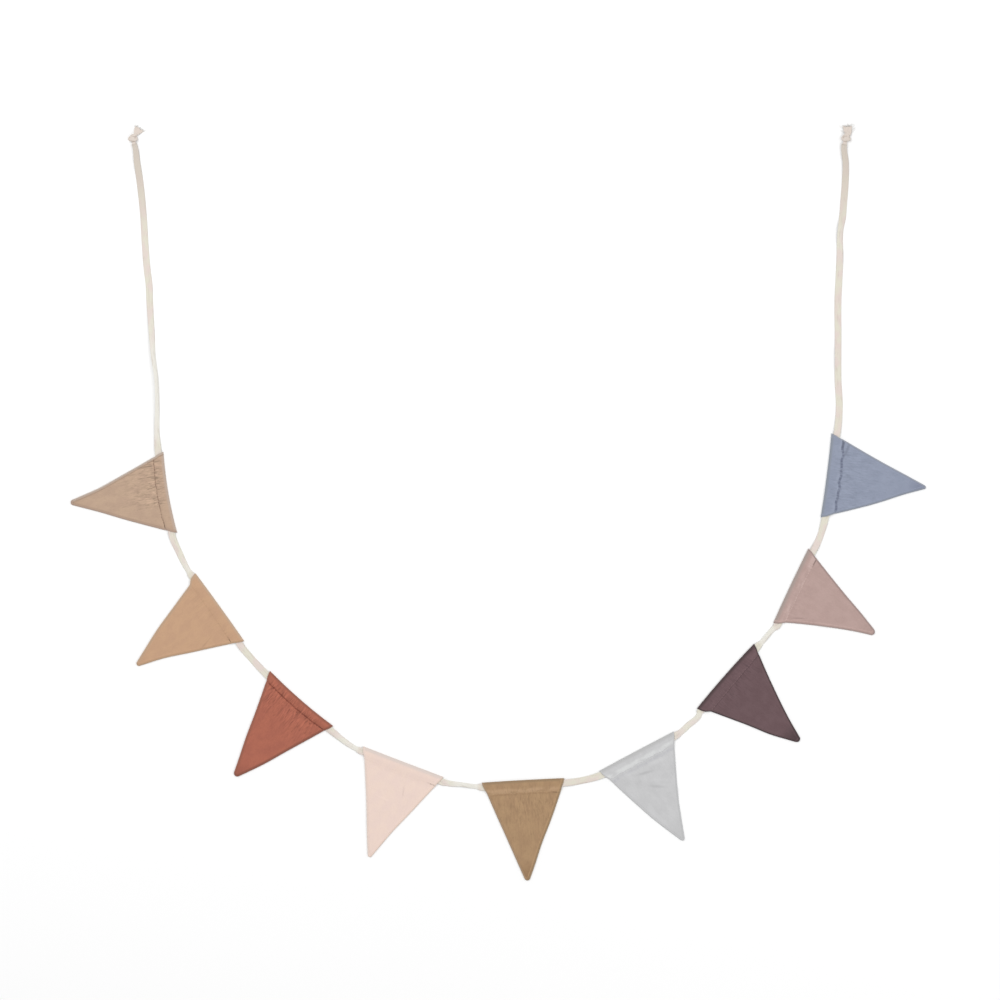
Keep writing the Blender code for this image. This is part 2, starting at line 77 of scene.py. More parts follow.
# Pennants in order from the left tie. x and y are the middle of the fold's straight line and turn is
# its direction. drop is the depth from there to the tip, lean is how far the tip is off the middle, tip
# is its radius, and fold_bow is how far the fold and its casing bow up, or sag where it is negative.
Pennant = namedtuple("Pennant", "name x y turn drop lean tip fold_bow left right")
PENNANTS = (
    Pennant(
        "sand", -0.4934, 0.0147, -80.7, 0.1485, -0.0081, 0.0043, -0.0031,
        Side(0.0611, 0.0007, -0.0026, -0.0006, -0.0014, 0.70, 0.0069),
        Side(0.0611, 0.0014, 0.0006, -0.0008, -0.0011, 0.75, 0.0068),
    ),
    Pennant(
        "tan", -0.4184, -0.1577, -54.3, 0.1508, -0.0019, 0.0037, 0.0006,
        Side(0.0621, 0.0004, 0.0021, 0.0042, 0.0011, 0.65, 0.0063),
        Side(0.0623, 0.0004, -0.0017, -0.0003, -0.0018, 0.75, 0.0077),
    ),
    Pennant(
        "rust", -0.2953, -0.2948, -40.5, 0.1524, -0.0007, 0.0049, -0.0025,
        Side(0.0626, 0.0008, -0.0003, 0.0, 0.0010, 0.65, 0.0065),
        Side(0.0624, -0.0004, 0.0011, 0.0004, 0.0012, 0.75, 0.0078),
    ),
    Pennant(
        "blush", -0.1429, -0.3896, -20.7, 0.1511, 0.0027, 0.0031, -0.0002,
        Side(0.0640, 0.0006, -0.0009, 0.0009, 0.0007, 0.80, 0.0071),
        Side(0.0640, 0.0001, -0.0008, -0.0009, -0.0012, 0.70, 0.0074),
    ),
    Pennant(
        "ochre", 0.0368, -0.4177, 3.2, 0.1497, -0.0017, 0.0043, 0.0005,
        Side(0.0618, 0.0002, 0.0002, 0.0006, -0.0002, 0.60, 0.0064),
        Side(0.0617, 0.0001, 0.0010, -0.0011, -0.0016, 0.65, 0.0070),
    ),
    Pennant(
        "grey", 0.2074, -0.3744, 28.0, 0.1498, -0.0008, 0.0033, 0.0003,
        Side(0.0626, 0.0008, 0.0033, 0.0017, 0.0006, 0.70, 0.0058),
        Side(0.0626, 0.0007, -0.0026, 0.0003, -0.0009, 0.60, 0.0059),
    ),
    Pennant(
        "plum", 0.3412, -0.2620, 48.9, 0.1458, -0.0003, 0.0049, 0.0015,
        Side(0.0641, 0.0015, 0.0007, 0.0036, 0.0021, 0.75, 0.0055),
        Side(0.0644, 0.0008, -0.0032, -0.0008, -0.0005, 0.75, 0.0058),
    ),
    Pennant(
        "mauve", 0.4384, -0.1258, 64.2, 0.1435, -0.0093, 0.0051, 0.0007,
        Side(0.0614, -0.0005, -0.0033, 0.0017, -0.0005, 0.80, 0.0070),
        Side(0.0615, 0.0006, -0.0008, -0.0003, 0.0009, 0.80, 0.0075),
    ),
    Pennant(
        "blue", 0.4924, 0.0396, 82.3, 0.1492, 0.0021, 0.0031, -0.0011,
        Side(0.0627, 0.0007, 0.0021, 0.0005, -0.0017, 0.80, 0.0060),
        Side(0.0630, 0.0016, -0.0014, -0.0011, 0.0005, 0.80, 0.0066),
    ),
)

# Soft folds and creases in a pennant: where, which way from the drop, half length and half width, and
# the height, which is negative for a trough
Fold = namedtuple("Fold", "pennant u v turn length width height")
SWELLS = (
    Fold("sand", -0.022, 0.055, 4, 0.045, 0.011, 0.0016),
    Fold("sand", 0.008, 0.075, -3, 0.050, 0.009, 0.0012),
    Fold("sand", 0.026, 0.045, 10, 0.026, 0.008, 0.0010),
    Fold("tan", -0.012, 0.060, 24, 0.050, 0.014, 0.0013),
    Fold("tan", 0.020, 0.050, -18, 0.030, 0.010, 0.0010),
    Fold("rust", -0.020, 0.050, 6, 0.036, 0.009, 0.0014),
    Fold("rust", 0.004, 0.072, 2, 0.055, 0.011, 0.0016),
    Fold("rust", 0.028, 0.040, -12, 0.020, 0.008, 0.0009),
    Fold("blush", -0.010, 0.065, -8, 0.050, 0.016, 0.0011),
    Fold("blush", 0.024, 0.045, -20, 0.028, 0.010, 0.0009),
    Fold("ochre", -0.018, 0.060, 5, 0.046, 0.009, 0.0014),
    Fold("ochre", 0.010, 0.072, -4, 0.052, 0.010, 0.0015),
    Fold("grey", -0.014, 0.038, 62, 0.036, 0.009, 0.0019),
    Fold("grey", 0.014, 0.070, 48, 0.034, 0.010, 0.0016),
    Fold("grey", -0.004, 0.100, 20, 0.028, 0.009, 0.0011),
    Fold("plum", 0.010, 0.055, -6, 0.044, 0.012, 0.0013),
    Fold("plum", -0.016, 0.080, 10, 0.040, 0.010, 0.0012),
    Fold("mauve", -0.026, 0.050, -14, 0.034, 0.008, 0.0014),
    Fold("mauve", 0.006, 0.070, -6, 0.046, 0.014, 0.0011),
    Fold("blue", 0.000, 0.055, 3, 0.050, 0.012, 0.0015),
    Fold("blue", 0.026, 0.045, -9, 0.024, 0.009, 0.0010),
)
# A swell shows only above SWELL_FLOOR, and it eases in below the casing
SWELL_FLOOR = 0.0003
SWELL_START, SWELL_EASE = 0.019, 0.0165
CREASES = (
    Fold("ochre", 0.0400, 0.052, 21, 0.040, 0.0011, 0.00030),
    Fold("ochre", -0.0050, 0.128, 88, 0.007, 0.0012, 0.00030),
    Fold("ochre", 0.0010, 0.137, 84, 0.006, 0.0010, -0.00028),
    Fold("grey", -0.0230, 0.0250, 78, 0.020, 0.0040, 0.00030),
    Fold("grey", 0.0200, 0.0270, 84, 0.022, 0.0044, 0.00034),
    Fold("grey", -0.0060, 0.0330, 76, 0.018, 0.0030, -0.00030),
    Fold("grey", 0.0080, 0.0520, 62, 0.022, 0.0036, 0.00026),
    Fold("grey", 0.0020, 0.0600, 58, 0.020, 0.0030, -0.00022),
    Fold("mauve", -0.0390, 0.0310, 24, 0.013, 0.0011, -0.00036),
    Fold("mauve", -0.0412, 0.0320, 24, 0.013, 0.0011, 0.00030),
    Fold("tan", 0.0340, 0.0560, 14, 0.030, 0.0012, -0.00025),
    Fold("blush", -0.0100, 0.0620, 82, 0.022, 0.0016, 0.00022),
    Fold("blush", 0.0160, 0.0420, 12, 0.012, 0.0014, -0.00022),
    Fold("blue", 0.0420, 0.0250, 76, 0.014, 0.0022, -0.00035),
    Fold("blue", -0.0300, 0.0205, 86, 0.026, 0.0018, -0.00020),
    Fold("plum", 0.0000, 0.0560, 8, 0.028, 0.0030, 0.00022),
    Fold("rust", -0.0130, 0.0360, 8, 0.015, 0.0013, -0.00028),
    Fold("sand", 0.0140, 0.0340, -4, 0.016, 0.0012, -0.00018),
)

# The height of a crease that counts as 1 where its trough is painted darker as shade and its ridge paler as
# highlight
CREASE_SHOWS = 0.0002

# Where each casing is stitched: how far below the fold the line runs at its left end, middle and right
# end, how much it wavers, in waves of WAVER_LENGTH, and how hard the stitches pinch it
Seam = namedtuple("Seam", "left middle right waver pinch")
SEAMS = {
    "sand": Seam(0.0148, 0.0166, 0.0151, 0.00024, 1.0),
    "tan": Seam(0.0160, 0.0163, 0.0175, 0.00015, 0.2),
    "rust": Seam(0.0142, 0.0151, 0.0140, 0.00015, 1.0),
    "blush": Seam(0.0165, 0.0165, 0.0165, 0.00015, 0.1),
    "ochre": Seam(0.0186, 0.0184, 0.0184, 0.00024, 0.6),
    "grey": Seam(0.0182, 0.0178, 0.0165, 0.00050, 0.3),
    "plum": Seam(0.0182, 0.0180, 0.0150, 0.00018, 0.8),
    "mauve": Seam(0.0156, 0.0163, 0.0166, 0.00018, 0.5),
    "blue": Seam(0.0196, 0.0213, 0.0190, 0.00060, 1.0),
}
WAVER_LENGTH = 0.027

# How each pennant puckers along its stitch line: from and to along the fold, how far the puckers reach
# down the drop and up the casing, their height and spacing, and how strongly their painted shade and
# highlight mark the cloth. They die away over GATHER_EASE at each end.
Gather = namedtuple("Gather", "start end down up height spacing tint")
GATHERS = {
    "sand": Gather(-0.064, 0.026, 0.040, 0.014, 0.00030, 0.0034, 1.0),
    "tan": Gather(-0.050, 0.050, 0.016, 0.005, 0.00010, 0.0044, 0.15),
    "rust": Gather(-0.058, 0.050, 0.034, 0.012, 0.00030, 0.0032, 1.0),
    "blush": Gather(-0.050, 0.050, 0.010, 0.005, 0.00006, 0.0048, 0.05),
    "ochre": Gather(-0.056, 0.056, 0.070, 0.010, 0.00018, 0.0036, 0.45),
    "grey": Gather(-0.050, 0.050, 0.014, 0.007, 0.00010, 0.0060, 0.1),
    "plum": Gather(-0.054, 0.054, 0.020, 0.014, 0.00012, 0.0046, 0.5),
    "mauve": Gather(-0.050, 0.054, 0.014, 0.010, 0.00010, 0.0044, 0.15),
    "blue": Gather(-0.056, 0.056, 0.060, 0.014, 0.00018, 0.0038, 0.35),
}
GATHER_EASE = 0.014

# The washed crinkle's soft ridges, fine and broad: width, length, share of the height and a seed apart
Crinkle = namedtuple("Crinkle", "across along share seed")
CRINKLES = (Crinkle(0.0030, 0.0140, 0.6, 0.0), Crinkle(0.0070, 0.0260, 0.5, 5.0))

# Section of the turned-over cloth along the drop: the height of its upper face and its thickness
Section = namedtuple("Section", "v top thick")
FRONT_SECTIONS = (
    Section(0.0012, 0.00240, 0.00075),
    Section(0.0020, 0.00285, 0.00075),
    Section(0.0030, 0.00320, 0.00075),
    Section(0.0055, 0.00350, 0.00075),
    Section(0.0080, 0.00360, 0.00075),
    Section(0.0105, 0.00350, 0.00075),
    Section(0.0130, 0.00318, 0.00075),
    Section(0.0145, 0.00262, 0.00075),
    Section(0.0157, 0.00195, 0.00075),
    Section(0.0165, 0.00142, 0.00072),
    Section(0.0173, 0.00178, 0.00075),
    Section(0.0188, 0.00192, 0.00080),
    Section(0.0215, 0.00176, 0.00150),
    Section(0.0300, 0.00172, 0.00150),
)
# Where no stitch pinches the casing, its upper face slopes straight between these depths and heights
LOOSE_DEPTHS, LOOSE_TOPS = (0.0105, 0.0215), (0.00350, 0.00176)
FOLD_RADIUS = 0.0012
FOLD_ANGLES = (-90, -65, -40, -15, 15, 40, 65)
LAYER_THICK = 0.00075
BACK_HEM = 0.0185
BACK_INSET = 0.0004
BACK_LIFT = 0.00003
BACK_STEP = 0.0022
STITCH_AT = 0.0165
STITCH_INSET = 0.0026
STITCH_SHARE, STITCH_WIDTH, STITCH_HEIGHT = 0.66, 0.00075, 0.00048
STITCH_SLANT = 0.05
STITCH_LIFT = 0.00008
TIP_END = 86

# Across a pennant: rows of points that follow each sewn side, then an even grid between them
SIDE_STEPS = (0.0, 0.0002, 0.0005, 0.0009, 0.0014, 0.0019, 0.0024, 0.0030)
SIDE_SHARE = 2.3
ROUND_SIDE, EDGE_SHARE = 0.0012, 0.36
ROLL_AT, ROLL_WIDTH, ROLL_HEIGHT = 0.0009, 0.0006, 0.00040
GROOVE_AT, GROOVE_WIDTH, GROOVE_DEPTH = 0.0024, 0.0006, 0.00040
ALLOWANCE, ALLOWANCE_EDGE, ALLOWANCE_THICK = 0.0062, 0.0012, 0.00022
THICKEST = 0.0024
# Puckers and creases die away at the sides and the fold, and the stitches hold them down
CALM_SIDE = 0.0030
CALM_FOLD = (0.0005, 0.0060)
HELD_SHARE, HELD_WIDTH = 0.35, 0.0016

# The tape's free runs, as points of its middle line. width is its chord where it is cupped or gathered,
# tilt turns it on edge, lift is the clearance under it, and heading is its direction where a casing or
# a knot sets that.
Stop = namedtuple("Stop", "x y width tilt lift heading")
TAPE_WIDTH = 0.0100
TAPE_THICK = 0.0009
TAPE_LENGTH = 2.49
# The tape's thickness from one edge to the other, as shares: thin edges, firm selvedges, softer middle
TAPE_FACES = 12
TAPE_SHARES = (0.62, 1.0, 0.86, *[0.9] * (TAPE_FACES - 5), 0.86, 1.0, 0.62)


def stop(x, y, width=TAPE_WIDTH, tilt=0, lift=0.0, heading=None):
    """A stop of the tape, flat on the floor but for what is given."""
    return Stop(x, y, width, tilt, lift, heading)


LEFT_TIE = (
    stop(-0.54595, 0.5361, 0.0072, 0, 0.0024, -71),
    stop(-0.5418, 0.5080, 0.0092, 6, 0.0006),
    stop(-0.5377, 0.4800),
    stop(-0.5324, 0.4275, 0.0094),
    stop(-0.5300, 0.3869, 0.0096),
    stop(-0.5267, 0.3465),
    stop(-0.5240, 0.3248),
    stop(-0.5232, 0.3030, 0.0096),
    stop(-0.5204, 0.2590, 0.0086, 10),
    stop(-0.5171, 0.2145, 0.0068, 30),
    stop(-0.5134, 0.1880, 0.0064, 44),
    stop(-0.5119, 0.1640, 0.0064, 40),
    stop(-0.5117, 0.1347, 0.0066, 24),
    stop(-0.5123, 0.1080, 0.0072, 12),
)
GAPS = (
    (stop(-0.4792, -0.0752, 0.0094), stop(-0.4648, -0.1035, 0.0076)),
    (stop(-0.3705, -0.2346, 0.0097),),
    (stop(-0.2351, -0.3556, 0.0080, 8), stop(-0.2136, -0.3701, 0.0070)),
    (stop(-0.0770, -0.4216, 0.0086), stop(-0.0547, -0.4238, 0.0062, 14), stop(-0.0336, -0.4270, 0.0064)),
    (stop(0.1239, -0.4179, 0.0097),),
    (stop(0.2732, -0.3453, 0.0084), stop(0.2832, -0.3362, 0.0086), stop(0.3018, -0.3162, 0.0080)),
    (stop(0.3944, -0.2108, 0.0070), stop(0.4014, -0.2024, 0.0066, 8), stop(0.4116, -0.1908, 0.0070)),
    (stop(0.4828, -0.0504, 0.0096),),
)
RIGHT_TIE = (
    stop(0.5111, 0.1410),
    stop(0.5092, 0.1850, 0.0098),
    stop(0.5092, 0.2190, 0.0096, -8),
    stop(0.5093, 0.2480, 0.0096),
    stop(0.5092, 0.3030),
    stop(0.5109, 0.3400),
    stop(0.5118, 0.3675, 0.0092, 8),
    stop(0.5127, 0.4070, 0.0086, -14),
    stop(0.5163, 0.4300),
    stop(0.5174, 0.4452),
    stop(0.5198, 0.4755),
    stop(0.5206, 0.5080, 0.0090, -5, 0.0006),
    stop(0.5184, 0.5361, 0.0078, 0, 0.0024, 79),
)
# The tape in a casing: how far below the fold its middle line runs, its height, and how far outside and
# inside each mouth its stops are
CASING_MIDDLE, TUNNEL_Z = 0.0074, 0.0018
MOUTH_CLEAR, MOUTH_INSIDE = 0.002, 0.008
# A strip bowed into a shallow arc rises by the root of BOW times its chord times its slack. Slack tape
# cups by a share of that, and is lightly pleated too.
BOW = 3 / 8
CUP_SHARE, PLEAT_SHARE = 0.5, 0.10

# The overhand knot that ends each tie, from the tape to the cut end: places from the knot's middle, and
# the gathered tape's half width and half height there. The right knot is the left one's mirror image.
Turn = namedtuple("Turn", "x y z half_width half_height")
KNOT_TURNS = (
    Turn(0.0021, -0.0092, 0.0034, 0.0034, 0.0008),
    Turn(0.0014, -0.0056, 0.0032, 0.0025, 0.0014),
    Turn(-0.0004, -0.0014, 0.0021, 0.0022, 0.0016),
    Turn(-0.0024, 0.0020, 0.0047, 0.0022, 0.0015),
    Turn(-0.0010, 0.0046, 0.0036, 0.0021, 0.0015),
    Turn(0.0018, 0.0042, 0.0021, 0.0021, 0.0015),
    Turn(0.0042, 0.0014, 0.0027, 0.0022, 0.0015),
    Turn(0.0034, -0.0006, 0.0046, 0.0028, 0.0014),
    Turn(-0.0004, -0.0002, 0.0054, 0.0034, 0.0013),
    Turn(-0.0040, -0.0004, 0.0042, 0.0028, 0.0014),
    Turn(-0.0044, 0.0014, 0.0022, 0.0022, 0.0015),
    Turn(-0.0014, 0.0026, 0.0019, 0.0021, 0.0014),
    Turn(0.0008, 0.0046, 0.0045, 0.0022, 0.0013),
)
LEFT_TAIL = (
    Turn(0.0036, 0.0066, 0.0034, 0.0024, 0.0011),
    Turn(0.0052, 0.0094, 0.0022, 0.0042, 0.0008),
    Turn(0.0072, 0.0126, 0.0014, 0.0062, 0.0006),
    Turn(0.0092, 0.0156, 0.0010, 0.0078, 0.0005),
)
RIGHT_TAIL = (
    Turn(-0.0024, 0.0072, 0.0036, 0.0042, 0.0011),
    Turn(-0.0030, 0.0108, 0.0022, 0.0056, 0.0008),
    Turn(-0.0028, 0.0150, 0.0014, 0.0064, 0.0006),
    Turn(-0.0026, 0.0190, 0.0010, 0.0070, 0.0005),
)
LEFT_KNOT_AT = (-0.5479, 0.5442)
RIGHT_KNOT_AT = (0.5207, 0.5444)
KNOT_STEP = 0.0005
KNOT_SIDES = 32
KNOT_PLEATS, KNOT_PLEAT_DEPTH, KNOT_TWIST = 8, 0.13, 0.02
TAIL_PLEAT, TAIL_WAVE, TAIL_RAGGED = 0.0045, 0.0006, 0.0011
# The loose threads of a cut end, and how far inside it they start: a little, and far more at the sides
# of a splayed end
FRAY_THREADS = 34
FRAY_LENGTH, FRAY_RADIUS = 0.0042, 0.00018
FRAY_INSET, SPLAY_INSET = 0.0012, 0.0090

# The dyed cloths and the shade painted on them, each colour as it looks in the light. face is the plain cloth
# and grain how uneven its dye is. left and right are the rolled sides, painted duller and darker as shade
# where they turn from the light, each with how far in it reaches and the share of the line inside it, which
# is paler, or darker where negative, as the painted shade of the side's pressed groove. fold is the folded
# edge, painted as shade where it rolls from the light, and how far down it reaches. casing is the band above
# the stitches, with its share. seam is the stitched line, painted darker as the shade in the groove that the
# stitches pinch, with its share, its offset below the stitches, its half width and the share of its dark
# right end, which is partly the tape's painted shadow and partly backstitched thread. tip is the tip, with
# its share, and thread the sewing thread.
Dye = namedtuple(
    "Dye",
    "face grain left left_reach left_line right right_reach right_line fold fold_reach "
    "casing casing_share seam seam_share seam_at seam_width seam_end tip tip_share thread",
)
DYES_AND_SHADES = {
    "sand": Dye(
        "#BFA48E", 0.35, "#BFAEA2", 0.0036, -0.9, "#B09787", 0.0036, -0.3, "#C0AB9B", 0.0050,
        "#BBA08A", 0.2, "#8C7062", 0.60, 0.0, 0.0010, 0.8, "#B49883", 0.4, "#6E5447",
    ),
    "tan": Dye(
        "#C8A283", 0.20, "#C2A58B", 0.0050, 0.0, "#BA9A7E", 0.0032, 0.4, "#C3A68D", 0.0040,
        "#C3A081", 0.0, "#B28C6C", 0.10, 0.0, 0.0010, 0.9, "#BE9A7C", 0.3, "#C4A081",
    ),
    "rust": Dye(
        "#AE6956", 0.35, "#9D6454", 0.0052, 0.0, "#8F5A4B", 0.0046, 0.0, "#97604F", 0.0042,
        "#A2614E", 0.5, "#77392C", 0.70, -0.0010, 0.0012, 0.9, "#92574A", 0.5, "#6A3328",
    ),
    "blush": Dye(
        "#F0D9CD", 0.05, "#EAD7CC", 0.0036, 0.0, "#E6D0C2", 0.0016, 0.2, "#DED0C9", 0.0072,
        "#F0DACE", 0.3, "#F0DBCF", 0.3, 0.0, 0.0010, 0.8, "#EAD5CA", 0.3, "#EED9CD",
    ),
    "ochre": Dye(
        "#AD8E6D", 0.40, "#A98F74", 0.0030, 0.0, "#A0866A", 0.0032, 0.9, "#9B8265", 0.0050,
        "#C0A07F", 0.9, "#9E7F60", 0.55, 0.0022, 0.0016, 0.4, "#967658", 0.8, "#BC9E7D",
    ),
    "grey": Dye(
        "#CBCBCC", 0.16, "#C5C5C6", 0.0020, 0.0, "#C5C5C6", 0.0018, 0.0, "#BEBEBE", 0.0074,
        "#DEDFDF", 0.9, "#BCBCC1", 0.50, 0.0050, 0.0034, 0.0, "#C4C4C4", 0.6, "#CBCBCD",
    ),
    "plum": Dye(
        "#6D575A", 0.40, "#4C3E40", 0.0020, 0.2, "#4C3E3F", 0.0018, 0.4, "#524445", 0.0066,
        "#7C6367", 0.6, "#504144", 0.55, 0.0010, 0.0010, 0.4, "#4A3C3E", 0.8, "#8E7274",
    ),
    "mauve": Dye(
        "#BAA099", 0.22, "#A8938E", 0.0022, 0.9, "#A5908C", 0.0026, 0.0, "#AA9B95", 0.0074,
        "#CDB4AD", 0.8, "#B0968F", 0.15, 0.0012, 0.0012, 0.8, "#AB948E", 0.4, "#D4BBB4",
    ),
    "blue": Dye(
        "#949BAE", 0.30, "#8F95A2", 0.0028, 0.5, "#9CA1AC", 0.0024, 0.3, "#9096A2", 0.0052,
        "#A0A7BA", 0.7, "#6E7488", 0.90, -0.0008, 0.0029, 0.5, "#80859A", 0.8, "#787D8E",
    ),
}
# The lights make a colour in the picture lighter than it is on the cloth, so cloth colours are this
# share of the colours above
SEEN = 0.946
# Undyed cotton in the same light: its cream tone, its pinker tone and its duller one
TIE_COTTON = ("#E6E2D2", "#E8DAD2", "#D3C9BD")
KNOT_COTTON = ("#E9DFD5", "#E8D9CE", "#E0D5CB")
# Painted highlight: the paler colour given to the crown of cupped tape, where it catches the light
CUPPED_CROWN_HIGHLIGHT = "#F2F0E8"
FRAYED_COTTON = "#D9D6D2"
# The line inside a rolled side, painted darker as the shade of its pressed groove where its share is negative
# and paler where it is positive: how far in it runs and its half width
LINE_AT, LINE_WIDTH = 0.0037, 0.0014
# The period of Blender's wave texture at a scale of 1
WAVE_PERIOD = pi / 10

# The camera looks straight down, from as high as it takes to see VIEW_WIDTH of the floor
CAMERA_AT = (0.00225, 0.0030)
VIEW_WIDTH = 1.5
CAMERA_LENS = 100.0
SENSOR_WIDTH = 36.0
FLOOR_SIZE = 40.0
Softbox = namedtuple("Softbox", "name place size power")
SOFTBOXES = (
    Softbox("softbox_left", (-1.5, 1.3, 3.2), 2.0, 57.0),
    Softbox("softbox_right", (2.8, -0.6, 3.0), 2.2, 44.0),
)
FILL_LIGHT = 0.65


def linear(channel):
    """One sRGB channel, 0 to 1, as a linear value."""
    return channel / 12.92 if channel <= 0.04045 else ((channel + 0.055) / 1.055) ** 2.4


def hex_colour(code):
    """An sRGB hex colour as linear red, green and blue."""
    return tuple(linear(int(code[i:i + 2], 16) / 255) for i in (1, 3, 5))


def soft_step(x, low, high):
    """0 below low and 1 above high, with level ends."""
    t = np.clip((x - low) / (high - low), 0.0, 1.0)
    return t * t * (3 - 2 * t)


def hump(x, reach):
    """A soft hump, 1 in the middle and near 0 beyond its reach."""
    return np.exp(-(x / reach) ** 2)


def deselect_all():
    """Nothing selected, so that an operator acts only on the piece that it is meant for."""
    bpy.ops.object.select_all(action="DESELECT")


def only(piece):
    """The piece alone selected and active."""
    deselect_all()
    piece.select_set(True)
    bpy.context.view_layer.objects.active = piece


def apply_modifiers(piece):
    """Every modifier of a piece applied, in its order."""
    only(piece)
    for modifier in list(piece.modifiers):
        bpy.ops.object.modifier_apply(modifier=modifier.name)


def points_of(mesh):
    """A mesh's vertex places as rows of an array."""
    flat = np.empty(len(mesh.vertices) * 3)
    mesh.vertices.foreach_get("co", flat)
    return flat.reshape(-1, 3)


def set_points(mesh, points):
    """A mesh's vertices moved to the rows of an array."""
    mesh.vertices.foreach_set("co", np.ascontiguousarray(points).ravel())
    mesh.update()


def grid_piece(name, columns, rows):
    """A grid primitive, with the column and row of each of its vertices."""
    deselect_all()
    bpy.ops.mesh.primitive_grid_add(x_subdivisions=columns, y_subdivisions=rows, size=1.0)
    piece = bpy.context.object
    piece.name = name
    points = points_of(piece.data)
    column = np.rint((points[:, 0] + 0.5) * columns).astype(int)
    row = np.rint((points[:, 1] + 0.5) * rows).astype(int)
    return piece, column, row


def set_uv(mesh, values):
    """A UV map in metres, from one pair of numbers for each vertex."""
    for layer in list(mesh.uv_layers):
        mesh.uv_layers.remove(layer)
    layer = mesh.uv_layers.new(name="cloth")
    corner = np.empty(len(mesh.loops), dtype=int)
    mesh.loops.foreach_get("vertex_index", corner)
    layer.data.foreach_set("uv", values[corner].ravel())


def set_attribute(mesh, name, values):
    """One number for each vertex, which a material reads by its name."""
    layer = mesh.attributes.new(name, "FLOAT", "POINT")
    layer.data.foreach_set("value", values)


def dress(piece, material):
    """The piece's material, and the body that it moves with."""
    piece.data.materials.clear()
    piece.data.materials.append(material)
    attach(piece, BODY)


def add_node(tree, kind, inputs=None, output=0, **settings):
    """A new node's output, with its settings made and its inputs linked or set.

    An input takes another node's output, a value or an sRGB hex colour.
    """
    node = tree.nodes.new(kind)
    for key, value in settings.items():
        setattr(node, key, value)
    for key, value in (inputs or {}).items():
        socket = node.inputs[key]
        if isinstance(value, bpy.types.NodeSocket):
            tree.links.new(value, socket)
        elif isinstance(value, str):
            socket.default_value = (*hex_colour(value), 1.0)
        else:
            socket.default_value = value
    return node.outputs[output]


def lay_marks(tree, tone, marks):
    """A tone with marks of other colours laid over it, in their order.

    A mark is its colour, how much of it there is and the ramps that place it. A ramp is a value, the
    levels where the mark starts and is full, and its least and most share where they aren't 0 and 1.
    """
    for colour, share, *ramps in marks:
        for value, start, full, *limits in ramps:
            least, most = limits or (0.0, 1.0)
            levels = {0: value, 1: start, 2: full, 3: least, 4: most}
            ramp = add_node(tree, "ShaderNodeMapRange", levels, interpolation_type="SMOOTHSTEP")
            share = add_node(tree, "ShaderNodeMath", {0: share, 1: ramp}, operation="MULTIPLY")
        tone = add_node(tree, "ShaderNodeMix", {0: share, 6: tone, 7: colour}, output=2, data_type="RGBA")
    return tone


def apart(tree, value, level):
    """How far a value is from a level, above it or below."""
    gap = add_node(tree, "ShaderNodeMath", {0: value, 1: level}, operation="SUBTRACT")
    return add_node(tree, "ShaderNodeMath", {0: gap}, operation="ABSOLUTE")


def new_material(name):
    """A material with its tree and shader."""
    material = bpy.data.materials.new(name)
    material.use_nodes = True
    return material, material.node_tree, material.node_tree.nodes["Principled BSDF"]


def cloth_shader(shader, roughness, sheen):
    """Cotton scatters light at all angles: no gloss, and a faint pale halo of fibre ends."""
    shader.inputs["Roughness"].default_value = roughness
    shader.inputs["Specular IOR Level"].default_value = 0.18
    shader.inputs["Sheen Weight"].default_value = sheen
    shader.inputs["Sheen Roughness"].default_value = 0.6


def shifted(code, factor):
    """A hex colour made lighter or darker, as another hex colour."""
    channels = [int(code[i:i + 2], 16) * factor for i in (1, 3, 5)]
    return "#" + "".join(f"{round(min(255, c)):02X}" for c in channels)


def stretched_noise(tree, uv, across, along, offset, detail=3.0, distortion=0.3):
    """Noise whose grains are across by along metres on the cloth."""
    inputs = {"Vector": uv, "Location": (offset, offset, 0.0), "Scale": (1 / across, 1 / along, 1.0)}
    mapping = add_node(tree, "ShaderNodeMapping", inputs)
    grain = {"Vector": mapping, "Scale": 1.0, "Detail": detail, "Distortion": distortion}
    return add_node(tree, "ShaderNodeTexNoise", grain)


def weave_height(tree, uv, pitch):
    """The over and under of a plain weave, as two crossed waves."""
    scale = WAVE_PERIOD / pitch
    waves = []
    for direction in ("X", "Y"):
        inputs = {"Vector": uv, "Scale": scale, "Distortion": 0.6, "Detail": 1.0, "Detail Scale": 2.0}
        waves.append(add_node(tree, "ShaderNodeTexWave", inputs, output="Fac", bands_direction=direction))
    return add_node(tree, "ShaderNodeMath", dict(enumerate(waves)), operation="MULTIPLY")


